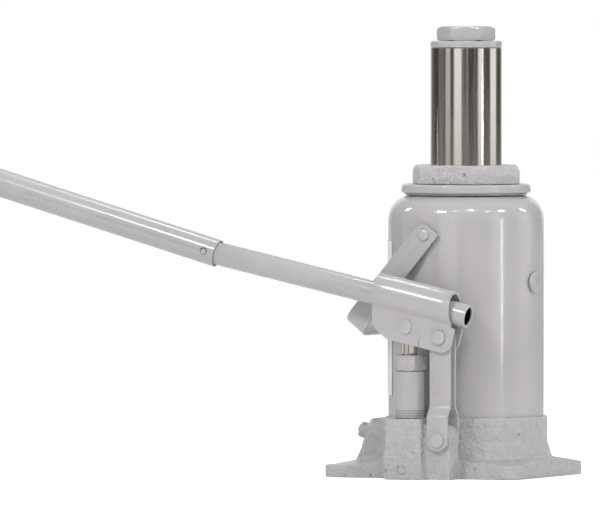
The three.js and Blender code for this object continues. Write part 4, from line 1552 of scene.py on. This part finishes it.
@dataclass
class Handle:
    """The two handle tubes and the sprung button that locks them."""

    finishes: Finishes
    lever: Lever
    axis_up: float = 22.3
    radius: float = 9.9
    wall: float = 2.0
    rear: float = 19.0
    entry: float = -218.6
    neck: float = 8.2
    neck_bore: float = 6.6
    neck_length: float = 30.0
    outer: float = 11.7
    outer_wall: float = 1.3
    outer_length: float = 372.0
    kink: float = 3.6
    overlap: float = 2.0
    button_back: float = 9.0
    button: float = 2.5
    button_low: float = 4.9
    button_dome: float = 1.1
    # thickness of the dark lining that is painted shade inside the tube bores
    shade_lining: float = 0.12
    outer_shade_lining_end: float = -30.5  # the inner tube's neck fills the rest

    def build(self) -> None:
        """Builds the inner tube, the outer tube and the button."""
        self._inner()
        self._outer()
        self._button()

    def _inner(self) -> None:
        """Builds the inner tube, with its deburred mouth and reduced neck."""
        bore = self.radius - self.wall
        end = self.entry - self.neck_length
        step = self.entry - 4
        radius, rear = self.radius, self.rear
        profile = [(self.neck_bore, end), (self.neck - 0.4, end),
                   (self.neck, end + 0.4), (self.neck, step), (radius, self.entry),
                   (radius, rear - 0.5), (radius - 0.4, rear), (bore + 0.4, rear),
                   (bore, rear - 0.5), (bore, self.entry), (self.neck_bore, step)]
        hole = Blank.rod(self.button + GAP, 0, 30, 32).moved(
            TO_FRONT, shift(self.entry + self.overlap - self.button_back, 0, 0))
        steps = shift(0, 0, self.axis_up), self.lever.place
        Blank.turned(profile, 96).moved(TO_RIGHT).combined(Join.CUT, hole).moved(
            *steps).delivered("handle_inner_tube", Body.HANDLE, self.finishes.fold,
                              Slot.PAINT, ["handle_inner"])
        # painted shade: a dark lining inside the inner tube
        self._line_with_shade("handle_inner_bore_shade", bore, self.entry + 1, self.rear - 1.5, *steps)

    def _outer(self) -> None:
        """Builds the outer tube with a rolled rim."""
        inner = self.outer - self.outer_wall
        far, near = -self.outer_length, self.overlap
        profile = [(inner, far + 0.4), (inner + 0.4, far), (self.outer - 0.5, far),
                   (self.outer, far + 0.5), (self.outer, near - 0.45),
                   (self.outer - 0.45, near), (inner + 0.3, near), (inner, near - 0.3)]
        hole = Blank.rod(self.button + 2 * GAP, 0, 30, 32).moved(
            TO_FRONT, shift(self.overlap - self.button_back, 0, 0))
        steps = (turn("Y", self.kink), shift(self.entry, 0, self.axis_up),
                 self.lever.place)
        Blank.turned(profile, 96).moved(TO_RIGHT).combined(Join.CUT, hole).moved(
            *steps).delivered("handle_outer_tube", Body.HANDLE, self.finishes.fold,
                              Slot.PAINT, ["handle_outer"])
        # painted shade: a dark lining inside the outer tube
        self._line_with_shade("handle_outer_bore_shade", inner, far + 1.5, self.outer_shade_lining_end, *steps)

    def _line_with_shade(self, name: str, radius: float, low: float, high: float,
              *steps: Matrix) -> None:
        """Lines a tube's bore with a thin dark sleeve: its unpainted steel, darkened as
        painted shade inside the tube.

        Args:
            name: Name of the piece.
            radius: Radius of the bore.
            low: Start along the tube.
            high: End along the tube.
            *steps: Matrices that place the tube.
        """
        skin, wall = radius - self.shade_lining, radius - 0.02
        Blank.turned([(skin, low), (wall, low), (wall, high), (skin, high)], 72).moved(
            TO_RIGHT, *steps).delivered(name, Body.HANDLE, self.finishes.bore,
                                        Slot.PAINT)

    def _button(self) -> None:
        """Builds the domed detent button."""
        top, low, dome = self.outer + 0.8, self.button_low, self.button_dome
        profile = [(0, low), (self.button, low), (self.button, top - dome),
                   *arc((self.button - dome, top - dome), dome, 0, 80, 5), (0, top)]
        x = self.entry + self.overlap - self.button_back
        Blank.turned(profile, 40).moved(
            TO_FRONT, shift(x, 0, self.axis_up), self.lever.place).delivered(
            "detent_button_dome", Body.DETENT, self.finishes.fold, Slot.PAINT,
            ["detent_button"])


# ---------------------------------------------------------------- carry bail
@dataclass
class Bail:
    """The flat carry bail and its two domed studs."""

    finishes: Finishes
    droop: float = 50.0
    width: float = 20.0
    thick: float = 3.0
    side: float = 1.5
    bend: float = 12.0
    end: float = 8.0
    end_round: float = 9.5
    rest: float = 1.3
    stud: float = 3.5
    weld: float = 0.3

    def build(self) -> None:
        """Builds the strap and the studs."""
        low, high = box_mm("bail_stud_near")
        x, _, z = middle("bail_stud_near")
        place = shift(x, 0, z)
        tank = box_mm("reservoir_tank")[1].x
        droop = math.radians(self.droop)
        inside, half = tank + self.side, self.width / 2
        clear = tank + self.rest + x
        reach = (clear + half * math.sin(droop)) / math.cos(droop)
        outside, far = inside + self.thick, reach + self.thick
        curve, far_curve = self.bend, self.bend + self.thick
        strap = rounded([
            (self.end, -outside), (self.end, -inside), (-reach, -inside, curve),
            (-reach, inside, curve), (self.end, inside), (self.end, outside),
            (-far, outside, far_curve), (-far, -outside, far_curve)], 16)
        ends = rounded([(-far - 5, -half), (self.end, -half, 0.8),
                        (self.end, half, self.end_round), (-far - 5, half)], 12)
        wide = outside + 5
        bail = Blank.prism(strap, -half, half)
        bail.combined(Join.KEEP, Blank.standing(ends, -wide, wide))
        hole = Blank.rod(self.stud + GAP, -wide, wide, 40).moved(TO_FRONT)
        bail.combined(Join.CUT, hole)
        bail.bevelled(0.7, 3, 40).moved(turn("Y", -self.droop), place).delivered(
            "carry_bail_strap", Body.BAIL, self.finishes.fold, Slot.PAINT,
            ["carry_bail"])
        face, top = outside + GAP, -low.y
        rim = (high.x - low.x) / 2
        foot = tank + self.weld
        profile = [(0, foot), (self.stud, foot), (self.stud, face), (rim, face),
                   (rim, face + 0.5), (rim * 0.92, face + 1.1),
                   (rim * 0.7, top - 0.35), (rim * 0.35, top - 0.05), (0, top)]
        for name, matrix in (("bail_stud_near", TO_FRONT),
                             ("bail_stud_far", turn("X", -90))):
            Blank.turned(profile, 56).moved(matrix, place).delivered(
                name + "_rivet", Body.BASE, self.finishes.shell, Slot.PAINT, [name])


# ---------------------------------------------------------------- release valve
@dataclass
class ReleaseValve:
    """The release screw with a cross slot in its end."""

    finishes: Finishes
    tilt: float = 20.0
    radius: float = 6.8
    length: float = 30.0
    neck_deep: float = 1.6
    neck_wide: float = 3.0
    tip_radius: float = 2.5
    slot: float = 3.2
    slot_deep: float = 6.0
    slot_turn: float = 28.6
    tip: tuple[float, float, float] = (-90.0, -17.0, 39.5)

    def build(self) -> None:
        """Builds the screw."""
        radius, mid, end = self.radius, self.length * 0.6, self.length - 2.5
        deep, neck = radius - self.neck_deep, mid + self.neck_wide
        profile = [(0, 0), (radius - 1.2, 0), (radius, 1.2), (radius, mid), (deep, mid),
                   (deep, neck), (radius, neck), (radius, self.length - 4),
                   (self.tip_radius, end), (0, end)]
        screw = Blank.turned(profile, 80).moved(TO_RIGHT)
        wide = self.radius + 1
        for spin in (self.slot_turn, self.slot_turn + 90):
            slot = Blank.box((-1, -wide, -self.slot / 2),
                             (self.slot_deep, wide, self.slot / 2))
            screw.combined(Join.CUT, slot.moved(turn("X", spin)))
        screw.bevelled(0.35, 2, 50).moved(
            turn("Y", self.tilt), shift(*self.tip)).delivered(
            "release_screw_slotted", Body.RELEASE_SCREW, self.finishes.shell,
            Slot.PAINT, ["release_valve"])


# ---------------------------------------------------------------- inner parts
@dataclass
class InnerParts:
    """The CAD solids that stay: seals, springs, balls and cages."""

    finishes: Finishes

    def dress(self) -> None:
        """Gives each remaining CAD solid its finish."""
        f = self.finishes
        looks = {
            f.fold: ["top_gasket"],
            f.black: ["tank_gasket", "cylinder_gasket", "piston_cup",
                      "pump_gland_seal", "plunger_cup", "release_seal_ring"],
            f.brass: ["gland_bush", "suction_strainer", "suction_cage",
                      "discharge_cage"],
            f.plain: ["suction_spring", "discharge_spring", "overload_spring",
                      "overload_screw", "piston_retainer", "screw_keeper_ring",
                      "detent_spring", "pressure_cylinder"],
            f.plunger: ["suction_ball", "discharge_ball", "overload_ball",
                        "release_ball"],
        }
        for finish, nodes in looks.items():
            for node in nodes:
                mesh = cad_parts[node].data
                mesh.materials.clear()
                mesh.materials.append(finish)


# ---------------------------------------------------------------- stage
@dataclass(frozen=True)
class Lamp:
    """One soft rectangular light that faces the jack.

    bearing is counted from the camera, to the right; sizes are in metres.
    """

    name: str
    bearing: float
    away: float
    height: float
    wide: float
    tall: float
    power: float


@dataclass
class Stage:
    """Floor, lights, sky and camera."""

    azimuth: float = 23.0
    elevation: float = 1.5
    distance: float = 13.6
    lens: float = 960.0
    target: tuple[float, float, float] = (-0.130, -0.055, 0.188)
    gain: float = 0.64
    floor_glow: float = 0.62  # what the camera sees on top of the lit floor
    # the sky's brightness at each bearing, counted like a lamp's
    bands: tuple[tuple[float, float], ...] = (
        (-160, 1.6), (-146, 0.4), (-120, 0.06), (-105, 0.07), (-97, 0.3), (-82, 0.32),
        (-74, 0.15), (-66, 1.1), (-55, 1.1), (-51, 0.13), (-43, 0.13), (-37, 2.0),
        (-18, 2.0), (-13, 0.35), (-2, 0.2), (4, 0.5), (9, 0.09), (21, 0.1), (27, 0.3),
        (35, 0.09), (42, 2.0), (54, 2.0), (60, 0.13), (81, 0.18), (87, 2.0), (108, 2.0),
        (115, 0.25), (132, 0.06), (150, 0.5), (164, 1.8), (180, 0.7))
    lamps: tuple[Lamp, ...] = (
        Lamp("line", 53, 1.5, 0.19, 0.022, 0.24, 0.5),
        Lamp("key", -42, 1.4, 1.25, 0.3, 0.14, 9),
        Lamp("front_top", 8, 1.2, 1.5, 0.14, 0.1, 4),
        Lamp("right_top", 62, 1.3, 1.2, 0.14, 0.1, 5),
        Lamp("right_far", 105, 1.4, 1.0, 0.12, 0.3, 3),
        Lamp("left_far", -110, 1.4, 1.0, 0.12, 0.3, 2.5),
        Lamp("small_left", -20, 1.6, 1.7, 0.16, 0.1, 1.8),
        Lamp("small_right", 36, 1.6, 1.5, 0.1, 0.12, 1.8),
        Lamp("roof", 180, 0.5, 1.6, 0.7, 0.2, 6),
    )

    def toward(self, bearing: float) -> Vector:
        """Level direction at a bearing from the camera."""
        angle = math.radians(self.azimuth - 90 + bearing)
        return Vector((math.cos(angle), math.sin(angle), 0))

    def camera(self) -> None:
        """Places the camera."""
        rise = math.radians(self.elevation)
        away = self.toward(0) * math.cos(rise) + Vector((0, 0, math.sin(rise)))
        data = bpy.data.cameras.new("view")
        data.lens, data.sensor_width, data.clip_end = self.lens, 36.0, 100.0
        eye = bpy.data.objects.new("view", data)
        eye.location = Vector(self.target) + away * self.distance
        eye.rotation_euler = (-away).to_track_quat("-Z", "Y").to_euler()
        bpy.context.scene.collection.objects.link(eye)
        bpy.context.scene.camera = eye

    def floor(self) -> None:
        """Lays a pale round floor."""
        shape = bmesh.new()
        bmesh.ops.create_circle(shape, cap_ends=True, radius=12.0, segments=96)
        mesh = bpy.data.meshes.new("floor")
        shape.to_mesh(mesh)
        shape.free()
        floor = bpy.data.objects.new("floor", mesh)
        floor.location.z = -0.0002
        bpy.context.scene.collection.objects.link(floor)
        material = bpy.data.materials.new("pale floor")
        material.use_nodes = True
        shader = material.node_tree.nodes["Principled BSDF"]
        shader.inputs["Base Color"].default_value = (0.93, 0.93, 0.93, 1)
        shader.inputs["Roughness"].default_value = 0.6
        shader.inputs["Specular IOR Level"].default_value = 0.1
        shader.inputs["Emission Color"].default_value = (1, 1, 1, 1)
        w = Wiring(material.node_tree)
        seen = w.node("LightPath").outputs["Is Camera Ray"]
        glow = w.times(seen, self.floor_glow)
        w.feed(shader.inputs["Emission Strength"], glow)
        mesh.materials.append(material)

    def sky(self) -> None:
        """Surrounds the jack with soft upright bands; the camera sees plain white."""
        world = bpy.data.worlds.new("studio")
        bpy.context.scene.world = world
        world.use_nodes = True
        w = Wiring(world.node_tree)
        ground = world.node_tree.nodes["Background"]
        place = w.node("TexCoord").outputs["Generated"]
        parts = w.node("SeparateXYZ", None, Vector=place)
        front, right = (w.plus(w.times(parts.outputs["X"], way.x),
                               w.times(parts.outputs["Y"], way.y))
                        for way in (self.toward(0), self.toward(90)))
        bearing = w.maths("ARCTAN2", right, front)
        ramp = w.node("ValToRGB")
        w.feed(ramp.inputs["Fac"], w.spread(bearing, -math.pi, math.pi, even=True))
        elements = ramp.color_ramp.elements
        while len(elements) < len(self.bands):
            elements.new(0.5)
        top = max(level for _, level in self.bands)
        for element, (angle, level) in zip(elements, self.bands):
            element.position = (angle + 180) / 360
            share = level / top
            element.color = (share, share * 0.985, share * (0.93 + 0.05 * share), 1)
        high = w.spread(parts.outputs["Z"], 0.25, 0.6)
        around = w.mixed(high, ramp.outputs["Color"], (0.28, 0.28, 0.28, 1))
        seen = w.node("LightPath").outputs["Is Camera Ray"]
        w.feed(ground.inputs["Color"], w.mixed(seen, around, (1, 1, 1, 1)))
        level = w.spread(seen, 0.0, 1.0, top * self.gain, 1.0)
        w.feed(ground.inputs["Strength"], level)

    def light(self) -> None:
        """Sets up the lamps and a plain view transform."""
        aim = Vector((0, 0, 0.17))
        for lamp in self.lamps:
            data = bpy.data.lights.new(lamp.name, "AREA")
            data.shape, data.size, data.size_y = "RECTANGLE", lamp.wide, lamp.tall
            data.energy = lamp.power
            made = bpy.data.objects.new(lamp.name, data)
            made.location = self.toward(lamp.bearing) * lamp.away
            made.location.z = lamp.height
            facing = (aim - made.location).to_track_quat("-Z", "Y")
            made.rotation_euler = facing.to_euler()
            bpy.context.scene.collection.objects.link(made)
        bpy.context.scene.view_settings.view_transform = "Standard"


def main() -> None:
    """Builds the jack in order and reports each piece."""
    logging.basicConfig(level=logging.INFO, format="%(name)s %(message)s")
    stage = Stage()
    stage.camera()
    finishes = Finishes.mixed(Effects())
    lever = Lever(finishes)
    for part in (BaseCasting(finishes), Tank(finishes), TopFittings(finishes),
                 Ram(finishes), Pump(finishes), Linkage(finishes), lever,
                 Handle(finishes, lever), Bail(finishes), ReleaseValve(finishes)):
        part.build()
    InnerParts(finishes).dress()
    stage.floor()
    stage.sky()
    stage.light()


if __name__ == "__main__":
    main()
